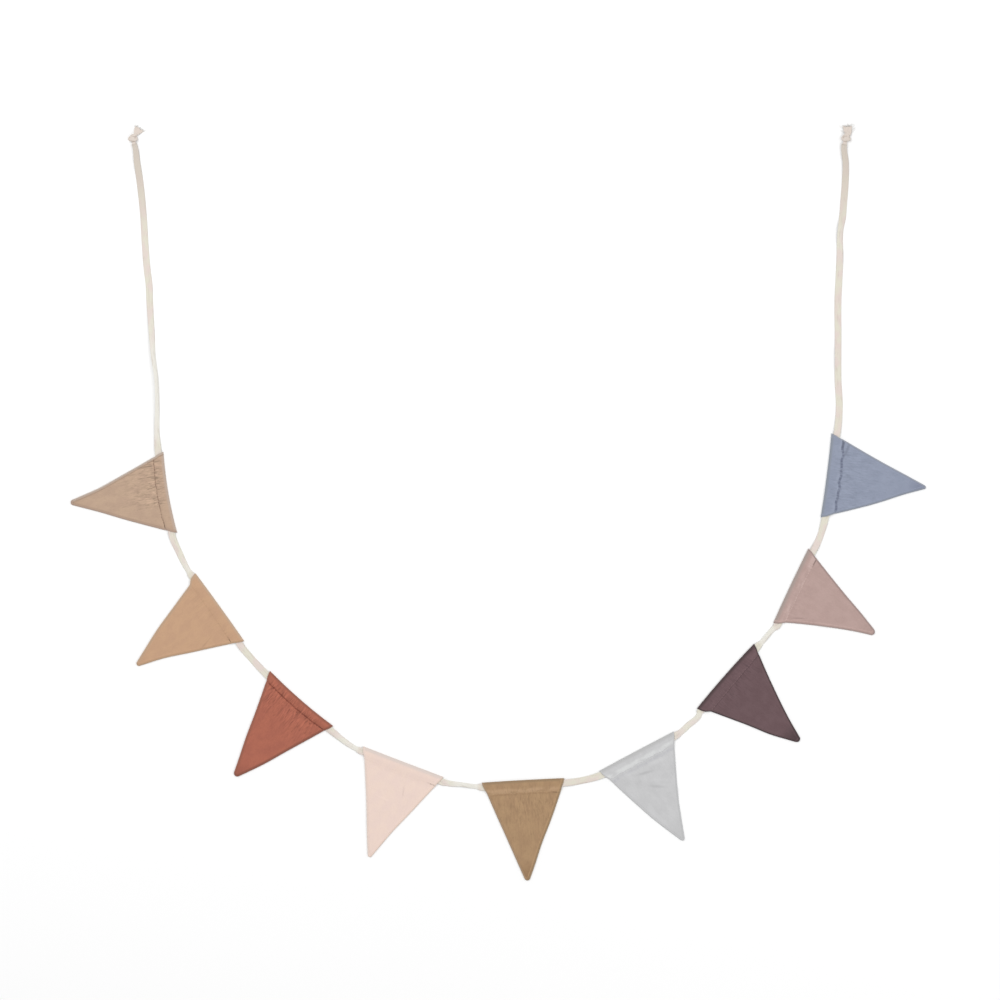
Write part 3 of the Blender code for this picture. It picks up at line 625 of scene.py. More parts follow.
def double_gauze(name, dye_and_shade, tint, drop, seed):
    """Double gauze cotton: two loose weaves tacked together and washed, so that the face is soft and matt.

    The stitches gather it, and each pucker is painted as a fine dark line of shade beside a paler line of
    highlight.
    The sewn sides and the fold roll and turn from the light, so they are painted duller and darker, as shade.
    The stitched line and the creases' troughs are painted darker as shade, and the creases' ridges paler as
    highlight.
    """
    material, tree, shader = new_material("double gauze cotton, " + name)
    cloth_shader(shader, 0.92, 0.03)
    uv = add_node(tree, "ShaderNodeUVMap", uv_map="cloth")
    depth = add_node(tree, "ShaderNodeSeparateXYZ", {0: uv}, output=1)
    left, right, below, pucker, crease = (
        add_node(tree, "ShaderNodeAttribute", output="Fac", attribute_name=key)
        for key in ("left", "right", "seam", "pucker", "crease")
    )

    specks = stretched_noise(tree, uv, 0.0020, 0.0040, seed, distortion=0.8)
    clouds = stretched_noise(tree, uv, 0.0120, 0.0200, seed + 7.0, detail=1.0, distortion=0.0)
    patches = stretched_noise(tree, uv, 0.0200, 0.0090, seed + 9.0, detail=1.0)
    dashes = stretched_noise(tree, uv, 0.0036, 0.0200, seed + 3.0, detail=1.0)
    lines = stretched_noise(tree, uv, 0.0021, 0.0130, seed + 5.0, detail=2.0, distortion=0.9)
    # Threads are 0.6 mm apart, which is too fine to show from 4 m, so the weave is drawn at 1.3 mm
    weave = weave_height(tree, uv, 0.0013)

    face = shifted(dye_and_shade.face, SEEN)
    uneven = 0.05 * dye_and_shade.grain
    stitched = (apart(tree, below, dye_and_shade.seam_at), dye_and_shade.seam_width, dye_and_shade.seam_width * 0.3)
    marks = [
        (shifted(face, 1 + uneven), 1.0, (clouds, 0.35, 0.65)),
        (shifted(face, 0.90), dye_and_shade.grain, (specks, 0.48, 0.30)),
        (shifted(face, 1.06), dye_and_shade.grain, (specks, 0.54, 0.72)),
        (
            shifted(dye_and_shade.casing, SEEN), dye_and_shade.casing_share,
            (below, 0.0004, -0.0006), (below, -0.0090, -0.0040), (patches, 0.35, 0.60, 0.2, 1.0),
        ),
        # Painted shade and highlight of the puckers: a darker line in each trough beside a paler one
        (shifted(face, 1.10), pucker, (lines, 0.53, 0.66, 0.0, tint)),
        (shifted(face, 0.83), pucker, (lines, 0.47, 0.34, 0.0, tint)),
        # Painted shade on the folded edge, where it rolls away from the light
        (shifted(dye_and_shade.fold, SEEN), 1.0, (depth, dye_and_shade.fold_reach, 0.0016)),
        # Painted shade along the stitched line, in the groove that the stitches pinch; its right end is
        # darker still, partly as the tape's painted shadow and partly as backstitched thread
        (shifted(dye_and_shade.seam, SEEN), dye_and_shade.seam_share, stitched, (dashes, 0.38, 0.56, 0.35, 1.0)),
        (shifted(dye_and_shade.face, 0.62), dye_and_shade.seam_end, stitched, (right, 0.0140, 0.0060)),
        # Painted shade in the creases' troughs and painted highlight on their ridges
        (shifted(face, 0.88), 0.7, (crease, -0.2, -1.6)),
        (shifted(face, 1.05), 0.7, (crease, 0.2, 2.2)),
        (shifted(dye_and_shade.tip, SEEN), dye_and_shade.tip_share, (depth, drop - 0.034, drop - 0.004)),
    ]
    # Painted shade on the rolled sides, where they turn from the light, and along the pressed groove inside
    # them
    for gap, colour, reach, strength in (
        (left, dye_and_shade.left, dye_and_shade.left_reach, dye_and_shade.left_line),
        (right, dye_and_shade.right, dye_and_shade.right_reach, dye_and_shade.right_line),
    ):
        line = (apart(tree, gap, LINE_AT), LINE_WIDTH, 0.0)
        inside = shifted(face, 1.08 if strength > 0 else 0.84)
        marks += [
            (inside, abs(strength), line, (specks, 0.35, 0.60, 0.4, 1.0)),
            (shifted(colour, SEEN), 1.0, (gap, reach, 0.0014)),
        ]
    tree.links.new(lay_marks(tree, shifted(face, 1 - uneven), marks), shader.inputs["Base Color"])

    puckers = add_node(tree, "ShaderNodeMath", {0: pucker, 1: lines}, operation="MULTIPLY")
    woven = add_node(tree, "ShaderNodeMath", {0: weave, 1: 0.20, 2: specks}, operation="MULTIPLY_ADD")
    relief = add_node(tree, "ShaderNodeMath", {0: puckers, 1: 2 * tint, 2: woven}, operation="MULTIPLY_ADD")
    bump = add_node(tree, "ShaderNodeBump", {"Strength": 0.45, "Distance": 0.0010, "Height": relief})
    tree.links.new(bump, shader.inputs["Normal"])
    return material


def sewing_thread(name, colour):
    """Spun cotton thread: matt, a little darker or lighter than the cloth that it holds."""
    material, tree, shader = new_material("spun cotton thread, " + name)
    cloth_shader(shader, 0.75, 0.05)
    place = add_node(tree, "ShaderNodeTexCoord", output="Object")
    twist = add_node(tree, "ShaderNodeTexNoise", {"Vector": place, "Scale": 1400.0, "Detail": 2.0})
    tint = lay_marks(tree, shifted(colour, 0.9), [(shifted(colour, 1.08), twist)])
    tree.links.new(tint, shader.inputs["Base Color"])
    return material


def woven_tape(name, cream, pink, dull):
    """Undyed cotton tape in a herringbone weave: matt, and uneven between a cream and a pinker tone.

    Where it is cupped, its crown catches the light, so it is painted paler there, as a highlight. Its ends
    are duller over their last 16 cm.
    """
    material, tree, shader = new_material("herringbone cotton tape, " + name)
    cloth_shader(shader, 0.88, 0.10)
    uv = add_node(tree, "ShaderNodeUVMap", uv_map="cloth")
    across, along = (add_node(tree, "ShaderNodeSeparateXYZ", {0: uv}, output=axis) for axis in (0, 1))
    slack = add_node(tree, "ShaderNodeAttribute", output="Fac", attribute_name="slack")
    # Real ribs are 0.8 mm apart, drawn at 1.4 mm so that they show
    levels = {0: apart(tree, across, 0.0), 1: 0.9, 2: along}
    slant = add_node(tree, "ShaderNodeMath", levels, operation="MULTIPLY_ADD")
    ribbed = add_node(tree, "ShaderNodeCombineXYZ", {0: slant})
    rows = {"Vector": ribbed, "Scale": WAVE_PERIOD / 0.0014, "Distortion": 0.4}
    ribs = add_node(tree, "ShaderNodeTexWave", rows, output="Fac", bands_direction="X")
    slubs = stretched_noise(tree, uv, 0.0026, 0.0200, 3.0)
    patches = stretched_noise(tree, uv, 0.0120, 0.0220, 9.0, detail=1.0, distortion=0.0)

    dulled = shifted(dull, SEEN)
    marks = [
        (shifted(pink, SEEN), 1.0, (patches, 0.38, 0.62)),
        # Painted highlight on the crown, where the tape is cupped
        (shifted(CUPPED_CROWN_HIGHLIGHT, SEEN), 1.0, (slack, 0.0002, 0.0040)),
        (dulled, 0.9, (along, 0.16, 0.02)),
        (dulled, 0.9, (along, TAPE_LENGTH - 0.16, TAPE_LENGTH)),
        (dulled, 0.6, (slubs, 0.46, 0.28)),
        (dulled, 0.12, (ribs, 0.5, 0.0)),
    ]
    tree.links.new(lay_marks(tree, shifted(cream, SEEN), marks), shader.inputs["Base Color"])

    relief = add_node(tree, "ShaderNodeMath", {0: ribs, 1: 0.35, 2: slubs}, operation="MULTIPLY_ADD")
    bump = add_node(tree, "ShaderNodeBump", {"Strength": 0.5, "Distance": 0.0006, "Height": relief})
    tree.links.new(bump, shader.inputs["Normal"])
    return material


def painted_floor(colour):
    """Matt painted board, plain and white, so that only the bunting's soft shadows mark it."""
    material, tree, shader = new_material("matt painted floor")
    shader.inputs["Roughness"].default_value = 0.9
    shader.inputs["Specular IOR Level"].default_value = 0.1
    place = add_node(tree, "ShaderNodeTexCoord", output="Object")
    cloud = add_node(tree, "ShaderNodeTexNoise", {"Vector": place, "Scale": 2.0, "Detail": 2.0})
    levels = {0: cloud, 1: 0.3, 2: 0.7, 3: 0.998, 4: 1.0}
    level = add_node(tree, "ShaderNodeMapRange", levels, interpolation_type="SMOOTHSTEP")
    shade = add_node(tree, "ShaderNodeVectorMath", {0: (*colour,), "Scale": level}, operation="SCALE")
    tree.links.new(shade, shader.inputs["Base Color"])
    return material


def side_line(v, run, flat, side):
    """How far a pennant's side stands out at depth v, from its corner to where the tip's arc starts."""
    t = v / run
    swell = side.bow * 4 * t * (1 - t) + side.belly * hump(t - side.belly_at, BELLY_LENGTH)
    step = side.step * (1 - t) * soft_step(v, STEP_START, STEP_START + STEP_LENGTH)
    return flat * t + swell - step + EAR * hump(v - EAR_AT, EAR_LENGTH)


def pennant_sides(p, v):
    """The left and right ends of a pennant's cloth at depths v, from the middle of its fold."""
    centre = p.drop - p.tip
    ends = []
    for sign, side in ((-1, p.left), (1, p.right)):
        corner = sign * side.corner
        slope = atan2(abs(p.lean - corner), p.drop)
        touch_u = p.lean + sign * p.tip * cos(slope)
        touch_v = centre + p.tip * sin(slope)
        straight = corner + sign * side_line(v, touch_v, sign * (touch_u - corner), side)
        arc = p.lean + sign * np.sqrt(np.maximum(0.0, p.tip ** 2 - (v - centre) ** 2))
        ends.append(np.where(v <= touch_v, straight, arc))
    return ends


def fold_width(p):
    """The length of a pennant's fold, from corner to corner."""
    return p.left.corner + p.right.corner


def fold_line(p, u):
    """How far the fold, and the casing with it, is above its straight line at u, and its slope there."""
    s = (u + p.left.corner) / fold_width(p)
    height = p.left.rise * (1 - s) + p.right.rise * s + p.fold_bow * 4 * s * (1 - s)
    slope = (p.right.rise - p.left.rise + p.fold_bow * 4 * (1 - 2 * s)) / fold_width(p)
    return height, slope


def fold_lift(p, u, v):
    """How far the fold's curve lifts the cloth at u that is v below the fold."""
    height, _ = fold_line(p, u)
    return height * (1 - soft_step(v, BEND_START, BEND_END))


def cloth_place(p, share, v):
    """Where the cloth v below the fold lies, at a share of its width from the left side."""
    left, right = pennant_sides(p, v)
    depth = v - fold_lift(p, left + (right - left) * share, v)
    left, right = pennant_sides(p, depth)
    return left + (right - left) * share, depth


def fold_height(folds, name, u, v):
    """The height of a pennant's own folds at places u, v."""
    height = np.zeros_like(u)
    for f in folds:
        if f.pennant != name:
            continue
        a = radians(f.turn)
        du = u - f.u
        dv = v - f.v
        along = dv * cos(a) + du * sin(a)
        aside = du * cos(a) - dv * sin(a)
        height += f.height * hump(along, f.length) * hump(aside, f.width)
    return height


def seam_depth(p, u):
    """How far below the fold a pennant's casing is stitched, at places u along it."""
    seam = SEAMS[p.name]
    s = (u + p.left.corner) / fold_width(p)
    bend = seam.middle - (seam.left + seam.right) / 2
    wave = np.sin(2 * pi * u / WAVER_LENGTH) + np.sin(3.3 * pi * u / WAVER_LENGTH + 1.0)
    return seam.left * (1 - s) + seam.right * s + bend * 4 * s * (1 - s) + seam.waver * wave


def gather_zone(g, u, below):
    """How strongly the cloth puckers at a place: most by the stitches, and less down and up from them."""
    ends = soft_step(u, g.start, g.start + GATHER_EASE) * (1 - soft_step(u, g.end - GATHER_EASE, g.end))
    return ends * hump(np.maximum(0.0, below), g.down) * hump(np.maximum(0.0, -below), g.up)


def gather_height(g, seed, u, below):
    """The larger puckers, as ridges and troughs that start at the stitch line and die away from it."""
    chance = Random(seed)
    height = np.zeros_like(u)
    place = g.start
    while place < g.end:
        slant = chance.uniform(-0.12, 0.12)
        reach = chance.uniform(0.3, 1.0)
        width = g.spacing * chance.uniform(0.26, 0.40)
        aside = u - place - slant * np.maximum(0.0, below)
        side = chance.choice((-1, 1))
        height += side * chance.uniform(0.3, 1.0) * hump(aside, width) * hump(below, g.down * reach)
        place += g.spacing * chance.uniform(0.6, 1.3)
    return height * hump(np.maximum(0.0, -below), g.up)


def crinkle_height(seed, u, v):
    """The washed crinkle of double gauze: short soft ridges that run down the drop."""
    height = np.empty(u.size)
    for k, (across, along) in enumerate(zip(u.ravel(), v.ravel())):
        height[k] = sum(
            c.share * noise.noise((across / c.across, along / c.along, seed + c.seed)) for c in CRINKLES
        )
    return height.reshape(u.shape)


def side_gaps(p, u, v):
    """How far inside the left and the right sewn side a place is, both running out at the tip."""
    left, right = pennant_sides(p, np.minimum(v, p.drop))
    lean = cos(atan2(fold_width(p) / 2, p.drop))
    return [np.maximum(0.0, np.minimum(gap * lean, p.drop - v)) for gap in (u - left, right - u)]


def side_profile(d):
    """Thickness at a sewn side: rounded, rolled, pressed into a groove, then thick over the allowance."""
    inner = np.clip(1 - d / ROUND_SIDE, 0.0, 1.0)
    rounded = np.maximum(EDGE_SHARE, np.sqrt(1 - inner ** 2))
    roll = ROLL_HEIGHT * hump(d - ROLL_AT, ROLL_WIDTH)
    groove = GROOVE_DEPTH * hump(d - GROOVE_AT, GROOVE_WIDTH)
    allowance = ALLOWANCE_THICK * (1 - soft_step(d, ALLOWANCE - ALLOWANCE_EDGE, ALLOWANCE))
    return rounded, roll - groove + allowance


def front_surface(p, seed, crinkle, u, v, depth):
    """Upper face height and thickness of the cloth v below the fold, where it lies at places u, depth."""
    below = v - seam_depth(p, u)
    sewn = np.where(below < 0, v * STITCH_AT / (v - below), STITCH_AT + below)
    depths = [s.v for s in FRONT_SECTIONS]
    top = np.interp(sewn, depths, [s.top for s in FRONT_SECTIONS])
    thick = np.interp(sewn, depths, [s.thick for s in FRONT_SECTIONS])
    loose = np.interp(sewn, LOOSE_DEPTHS, LOOSE_TOPS)
    between = (sewn > LOOSE_DEPTHS[0]) & (sewn < LOOSE_DEPTHS[1])
    top = np.where(between, top + (1 - SEAMS[p.name].pinch) * (loose - top), top)
    d = np.minimum(*side_gaps(p, u, depth))
    rounded, extra = side_profile(d)
    extra = extra * soft_step(sewn, STITCH_AT, SWELL_START + 0.004)
    swell = np.maximum(0.0, fold_height(SWELLS, p.name, u, depth) - SWELL_FLOOR)
    swell = swell * soft_step(depth, SWELL_START, SWELL_START + SWELL_EASE)
    gather = GATHERS[p.name]
    calm = soft_step(d, 0.0, CALM_SIDE) * soft_step(sewn, *CALM_FOLD)
    relief = gather.height * gather_height(gather, seed, u, below)
    relief = relief + crinkle * crinkle_height(seed * 1.7, u, v)
    relief = relief * (HELD_SHARE + (1 - HELD_SHARE) * soft_step(abs(below), 0.0, HELD_WIDTH))
    relief = relief + fold_height(CREASES, p.name, u, depth)
    return top + extra + swell + relief * calm, (thick + extra) * rounded


def pennant_place(p, u, v, z):
    """Places on a pennant as world coordinates."""
    a = radians(p.turn)
    return np.stack([p.x + u * cos(a) + v * sin(a), p.y + u * sin(a) - v * cos(a), z], axis=-1)


def pennant_rows(p, pitch):
    """Depths of the rows of a pennant's front, from just inside the fold to the tip."""
    centre = p.drop - p.tip
    straight = np.arange(FOLD_RADIUS, centre, pitch)
    angles = np.radians(np.linspace(0, TIP_END, 9))
    return np.concatenate([straight, centre + p.tip * np.sin(angles)])


def pennant_cloth(p, number, sizes):
    """One pennant as a sheet that comes up from the tip, over the tape and down again behind it."""
    front = pennant_rows(p, sizes.grid_pitch)
    back = np.arange(BACK_HEM, FOLD_RADIUS, -BACK_STEP)
    bends = np.radians(FOLD_ANGLES)
    mid_radius = FOLD_RADIUS - LAYER_THICK / 2
    down = np.concatenate([back, FOLD_RADIUS - mid_radius * np.cos(bends), front])
    rows = len(down) - 1

    left, right = (side[:, None] for side in pennant_sides(p, down))
    inset = BACK_INSET * (np.arange(len(down)) < len(back))[:, None]
    steps = np.array(SIDE_STEPS) * np.minimum(1.0, (right - left) / (SIDE_SHARE * SIDE_STEPS[-1]))
    middle = round(fold_width(p) / sizes.grid_pitch)
    even = np.linspace(-p.left.corner, p.right.corner, middle + 1)
    inner = np.clip(even, left + inset + steps[:, -1:], right - inset - steps[:, -1:])
    u = np.concatenate([left + inset + steps, inner[:, 1:-1], right - inset - steps[:, ::-1]], axis=1)
    columns = u.shape[1] - 1
    v = np.repeat(down[:, None], columns + 1, axis=1)
    u, depth = cloth_place(p, (u - left) / (right - left), v)

    z = np.full(u.shape, LAYER_THICK / 2 + BACK_LIFT)
    thick = np.full(u.shape, LAYER_THICK)
    first_bend, first_front = len(back), len(back) + len(bends)
    z[first_bend:first_front] = (FOLD_RADIUS + mid_radius * np.sin(bends))[:, None]
    places = (u[first_front:], v[first_front:], depth[first_front:])
    top, front_thick = front_surface(p, number, sizes.crinkle, *places)
    thick[first_front:] = front_thick
    z[first_front:] = top - front_thick / 2

    piece, column, row = grid_piece(f"pennant_{number}_{p.name}", columns, rows)
    set_points(piece.data, pennant_place(p, u, depth, z)[rows - row, column])
    group = piece.vertex_groups.new(name="thickness")
    for index, weight in enumerate(np.clip(thick[rows - row, column] / THICKEST, 0.0, 1.0)):
        group.add([index], float(weight), "REPLACE")
    weld(piece, 0.00001)
    thicken(piece, THICKEST)
    return piece


def weld(piece, distance):
    """Points that lie on each other merged into one."""
    only(piece)
    bpy.ops.object.mode_set(mode="EDIT")
    bpy.ops.mesh.select_all(action="SELECT")
    bpy.ops.mesh.remove_doubles(threshold=distance)
    bpy.ops.object.mode_set(mode="OBJECT")


def thicken(piece, thickness):
    """A wall on both sides of a sheet, by its thickness weights, laid level where it meets the floor."""
    wall = piece.modifiers.new("thickness", "SOLIDIFY")
    wall.thickness = thickness
    wall.offset = 0.0
    wall.vertex_group = "thickness"
    wall.use_quality_normals = True
    apply_modifiers(piece)
    points = points_of(piece.data)
    points[:, 2] = np.maximum(points[:, 2], 0.0)
    set_points(piece.data, points)
    bpy.ops.object.mode_set(mode="EDIT")
    bpy.ops.mesh.select_all(action="SELECT")
    bpy.ops.mesh.normals_make_consistent(inside=False)
    bpy.ops.object.mode_set(mode="OBJECT")
    bpy.ops.object.shade_smooth()
    piece.vertex_groups.clear()


def map_pennant(piece, p):
    """The cloth's own sizes on its mesh: a UV map in metres, and its distances from sides and stitches."""
    points = points_of(piece.data)
    a = radians(p.turn)
    dx, dy = points[:, 0] - p.x, points[:, 1] - p.y
    u = dx * cos(a) + dy * sin(a)
    depth = dx * sin(a) - dy * cos(a)
    v = depth + fold_lift(p, u, depth)
    v = depth + fold_lift(p, u, v)
    below = v - seam_depth(p, u)
    left, right = side_gaps(p, u, depth)
    set_uv(piece.data, np.stack([u, v], axis=-1))
    set_attribute(piece.data, "left", left)
    set_attribute(piece.data, "right", right)
    set_attribute(piece.data, "seam", below)
    set_attribute(piece.data, "pucker", gather_zone(GATHERS[p.name], u, below))
    set_attribute(piece.data, "crease", fold_height(CREASES, p.name, u, depth) / CREASE_SHOWS)


def casing_stitches(p, number, sizes):
    """The row of stitches that closes a pennant's casing, each one dipping into the cloth at its ends."""
    pitch = sizes.stitch_pitch
    left, right = (float(side) for side in pennant_sides(p, STITCH_AT))
    first = left + STITCH_INSET
    count = int((right - STITCH_INSET - first) / pitch)
    deselect_all()
    bpy.ops.mesh.primitive_uv_sphere_add(segments=8, ring_count=6, radius=0.5)
    piece = bpy.context.object
    piece.name = f"stitches_{number}_{p.name}"
    bpy.ops.object.mode_set(mode="EDIT")
    bpy.ops.mesh.select_all(action="SELECT")
    bpy.ops.transform.rotate(value=radians(90), orient_axis="Y", center_override=(0.0, 0.0, 0.0))
    bpy.ops.transform.resize(value=(pitch * STITCH_SHARE, STITCH_WIDTH, STITCH_HEIGHT))
    bpy.ops.object.mode_set(mode="OBJECT")
    row = piece.modifiers.new("row", "ARRAY")
    row.count = count
    row.use_relative_offset = False
    row.use_constant_offset = True
    row.constant_offset_displace = (pitch, 0.0, 0.0)
    apply_modifiers(piece)
    points = points_of(piece.data)
    number_in_row = np.rint(points[:, 0] / pitch)
    u = first + pitch / 2 + points[:, 0]
    middle = first + pitch / 2 + number_in_row * pitch
    seam = seam_depth(p, middle)
    top, _ = front_surface(p, number, sizes.crinkle, middle, seam, seam - fold_lift(p, middle, seam))
    seam = seam_depth(p, u)
    depth = seam - fold_lift(p, u, seam) + points[:, 1] + STITCH_SLANT * (u - middle)
    set_points(piece.data, pennant_place(p, u, depth, top + points[:, 2] + STITCH_LIFT))
    only(piece)
    bpy.ops.object.shade_smooth()
    return piece


def casing_stops(p):
    """The tape in one casing, level: just outside each mouth, and on the casing's line inside it."""
    lift = TUNNEL_Z - TAPE_THICK / 2
    stops = []
    for sign, side in ((-1, p.left), (1, p.right)):
        outside = pennant_place(p, sign * (side.corner + MOUTH_CLEAR), side.mouth, 0.0)
        u = sign * (side.corner - MOUTH_INSIDE)
        height, slope = fold_line(p, u)
        inside = pennant_place(p, u, CASING_MIDDLE - height, 0.0)
        pair = [
            stop(outside[0], outside[1], TAPE_WIDTH, 0, lift),
            stop(inside[0], inside[1], TAPE_WIDTH, 0, lift, p.turn + degrees(atan(slope))),
        ]
        stops += pair if sign < 0 else reversed(pair)
    return stops


def tape_route():
    """Every stop of the tape, from the left knot through the nine casings to the right knot."""
    route = list(LEFT_TIE)
    for p, gap in zip(PENNANTS, GAPS + ((),)):
        route += [*casing_stops(p), *gap]
    return route + list(RIGHT_TIE)


def headings(route):
    """A direction at each stop: its own, or the one that its neighbours give it."""
    directions = []
    for k, here in enumerate(route):
        if here.heading is not None:
            a = radians(here.heading)
            directions.append(Vector((cos(a), sin(a))))
            continue
        back = Vector((here.x - route[k - 1].x, here.y - route[k - 1].y))
        ahead = Vector((route[k + 1].x - here.x, route[k + 1].y - here.y))
        directions.append((back / back.length ** 2 + ahead / ahead.length ** 2).normalized())
    return directions


def tape_stations(route, step):
    """Points of one smooth curve through the stops, each with its direction and section."""
    directions = headings(route)
    stations = []
    for k in range(len(route) - 1):
        a, b = route[k], route[k + 1]
        chord = hypot(b.x - a.x, b.y - a.y)
        start, end = Vector((a.x, a.y)), Vector((b.x, b.y))
        pull_a, pull_b = directions[k] * chord, directions[k + 1] * chord
        steps = ceil(chord / step)
        for n in range(steps + (k == len(route) - 2)):
            t = n / steps
            spot = (
                start * (2 * t ** 3 - 3 * t ** 2 + 1) + pull_a * (t ** 3 - 2 * t ** 2 + t)
                + end * (3 * t ** 2 - 2 * t ** 3) + pull_b * (t ** 3 - t ** 2)
            )
            course = (
                start * (6 * t ** 2 - 6 * t) + pull_a * (3 * t ** 2 - 4 * t + 1)
                + end * (6 * t - 6 * t ** 2) + pull_b * (3 * t ** 2 - 2 * t)
            ).normalized()
            f = t * t * (3 - 2 * t)
            width, tilt, lift = (
                getattr(a, key) + (getattr(b, key) - getattr(a, key)) * f for key in ("width", "tilt", "lift")
            )
            stations.append((spot, course, width, tilt, lift))
    return stations


def tape_section(width, tilt):
    """Offsets across the tape, as (aside, up): cupped and lightly pleated where it is gathered."""
    slack = max(0.0, TAPE_WIDTH - width)
    cup = CUP_SHARE * sqrt(BOW * width * slack)
    a = radians(tilt)
    offsets = []
    for i in range(TAPE_FACES + 1):
        x = 2 * i / TAPE_FACES - 1
        aside = x * width / 2
        up = cup * (1 - x * x) + PLEAT_SHARE * slack * cos(3 * pi * x)
        offsets.append((aside * cos(a) - up * sin(a), aside * sin(a) + up * cos(a)))
    return offsets


def tape_piece(sizes):
    """The woven tape from knot to knot, and the middle line that it follows."""
    stations = tape_stations(tape_route(), sizes.tape_step)
    rows = len(stations) - 1
    piece, column, row = grid_piece("woven_tape", TAPE_FACES, rows)
    places = np.empty((rows + 1, TAPE_FACES + 1, 3))
    maps = np.empty((rows + 1, TAPE_FACES + 1, 2))
    slack = np.empty((rows + 1, TAPE_FACES + 1))
    line = []
    run = 0.0
    for j, (spot, course, width, tilt, lift) in enumerate(stations):
        if j:
            run += (spot - stations[j - 1][0]).length
        slack[j] = TAPE_WIDTH - width
        offsets = tape_section(width, tilt)
        base = lift + TAPE_THICK / 2 - min(up for _, up in offsets)
        for i, (aside, up) in enumerate(offsets):
            places[j, i] = (spot.x + course.y * aside, spot.y - course.x * aside, base + up)
            maps[j, i] = ((i / TAPE_FACES - 0.5) * TAPE_WIDTH, run)
        line.append((spot.x, spot.y, base + offsets[TAPE_FACES // 2][1]))
    set_points(piece.data, places[row, column])
    set_uv(piece.data, maps[row, column])
    set_attribute(piece.data, "slack", slack[row, column])
    group = piece.vertex_groups.new(name="thickness")
    for index, i in enumerate(column):
        group.add([index], TAPE_SHARES[i], "REPLACE")
    thicken(piece, TAPE_THICK)
    return piece, line


def smooth_turns(turns, step):
    """Turns along one smooth curve, a step apart."""
    rows = np.array(turns)
    rows = np.vstack([2 * rows[0] - rows[1], rows, 2 * rows[-1] - rows[-2]])
    curve = []
    for a, b, c, d in zip(rows, rows[1:], rows[2:], rows[3:]):
        count = max(2, ceil(np.linalg.norm(c[:3] - b[:3]) / step))
        for t in np.arange(count) / count:
            curve.append(0.5 * (
                2 * b + (c - a) * t + (2 * a - 5 * b + 4 * c - d) * t ** 2 + (3 * b - a - 3 * c + d) * t ** 3
            ))
    curve.append(rows[-2])
    return np.array(curve)


def knot_piece(name, at, mirror, tail, seed):
    """The tape gathered into an overhand knot, with its cut end spread like a fan, and that end's edge."""
    chance = Random(seed)
    curve = smooth_turns(KNOT_TURNS + tail, KNOT_STEP)
    curve[:, 0] *= mirror
    fan_start = len(smooth_turns(KNOT_TURNS, KNOT_STEP))
    ragged = [chance.uniform(-1.0, 1.0) for _ in range(KNOT_SIDES)]
    bm = bmesh.new()
    uv_layer = bm.loops.layers.uv.new("cloth")
    loops = []
    ways = []
    run = 0.0
    for k, (x, y, z, half_width, half_height) in enumerate(curve):
        course = Vector(curve[min(k + 1, len(curve) - 1), :3] - curve[max(k - 1, 0), :3]).normalized()
        across = course.cross(Vector((0.0, 0.0, 1.0))).normalized()
        up = across.cross(course)
        fan = min(1.0, max(0.0, (k - fan_start) / (len(curve) - fan_start)))
        centre = Vector((at[0] + x, at[1] + y, z))
        if k:
            run += (centre - ways[-1][0]).length
        ways.append((centre, across, half_width, run))
        ring = []
        for n in range(KNOT_SIDES):
            a = 2 * pi * n / KNOT_SIDES
            pleat = 1 + KNOT_PLEAT_DEPTH * (1 - fan) * cos(KNOT_PLEATS * a + KNOT_TWIST * k)
            aside = half_width * cos(a) * pleat
            lift = half_height * sin(a) * pleat + TAIL_WAVE * fan * cos(2 * pi * aside / TAIL_PLEAT)
            reach = TAIL_RAGGED * ragged[n] * (k == len(curve) - 1)
            spot = centre + across * aside + up * lift + course * reach
            spot.z = max(spot.z, 0.0)
            ring.append(bm.verts.new(spot))
        loops.append(ring)
    for k, (low, high) in enumerate(zip(loops, loops[1:])):
        for n in range(KNOT_SIDES):
            m = (n + 1) % KNOT_SIDES
            face = bm.faces.new((low[n], low[m], high[m], high[n]))
            corners = ((n, k), (n + 1, k), (n + 1, k + 1), (n, k + 1))
            for loop, (around, j) in zip(face.loops, corners):
                loop[uv_layer].uv = (ways[j][2] * cos(2 * pi * around / KNOT_SIDES), ways[j][3])
            face.smooth = True
    bm.faces.new(list(reversed(loops[0])))
    bm.faces.new(loops[-1])
    bmesh.ops.recalc_face_normals(bm, faces=bm.faces[:])
    mesh = bpy.data.meshes.new(name)
    bm.to_mesh(mesh)
    bm.free()
    piece = bpy.data.objects.new(name, mesh)
    bpy.context.scene.collection.objects.link(piece)
    centre, across, half_width, _ = ways[-1]
    course = (ways[-1][0] - ways[-3][0]).normalized()
    return piece, centre, across * half_width, course


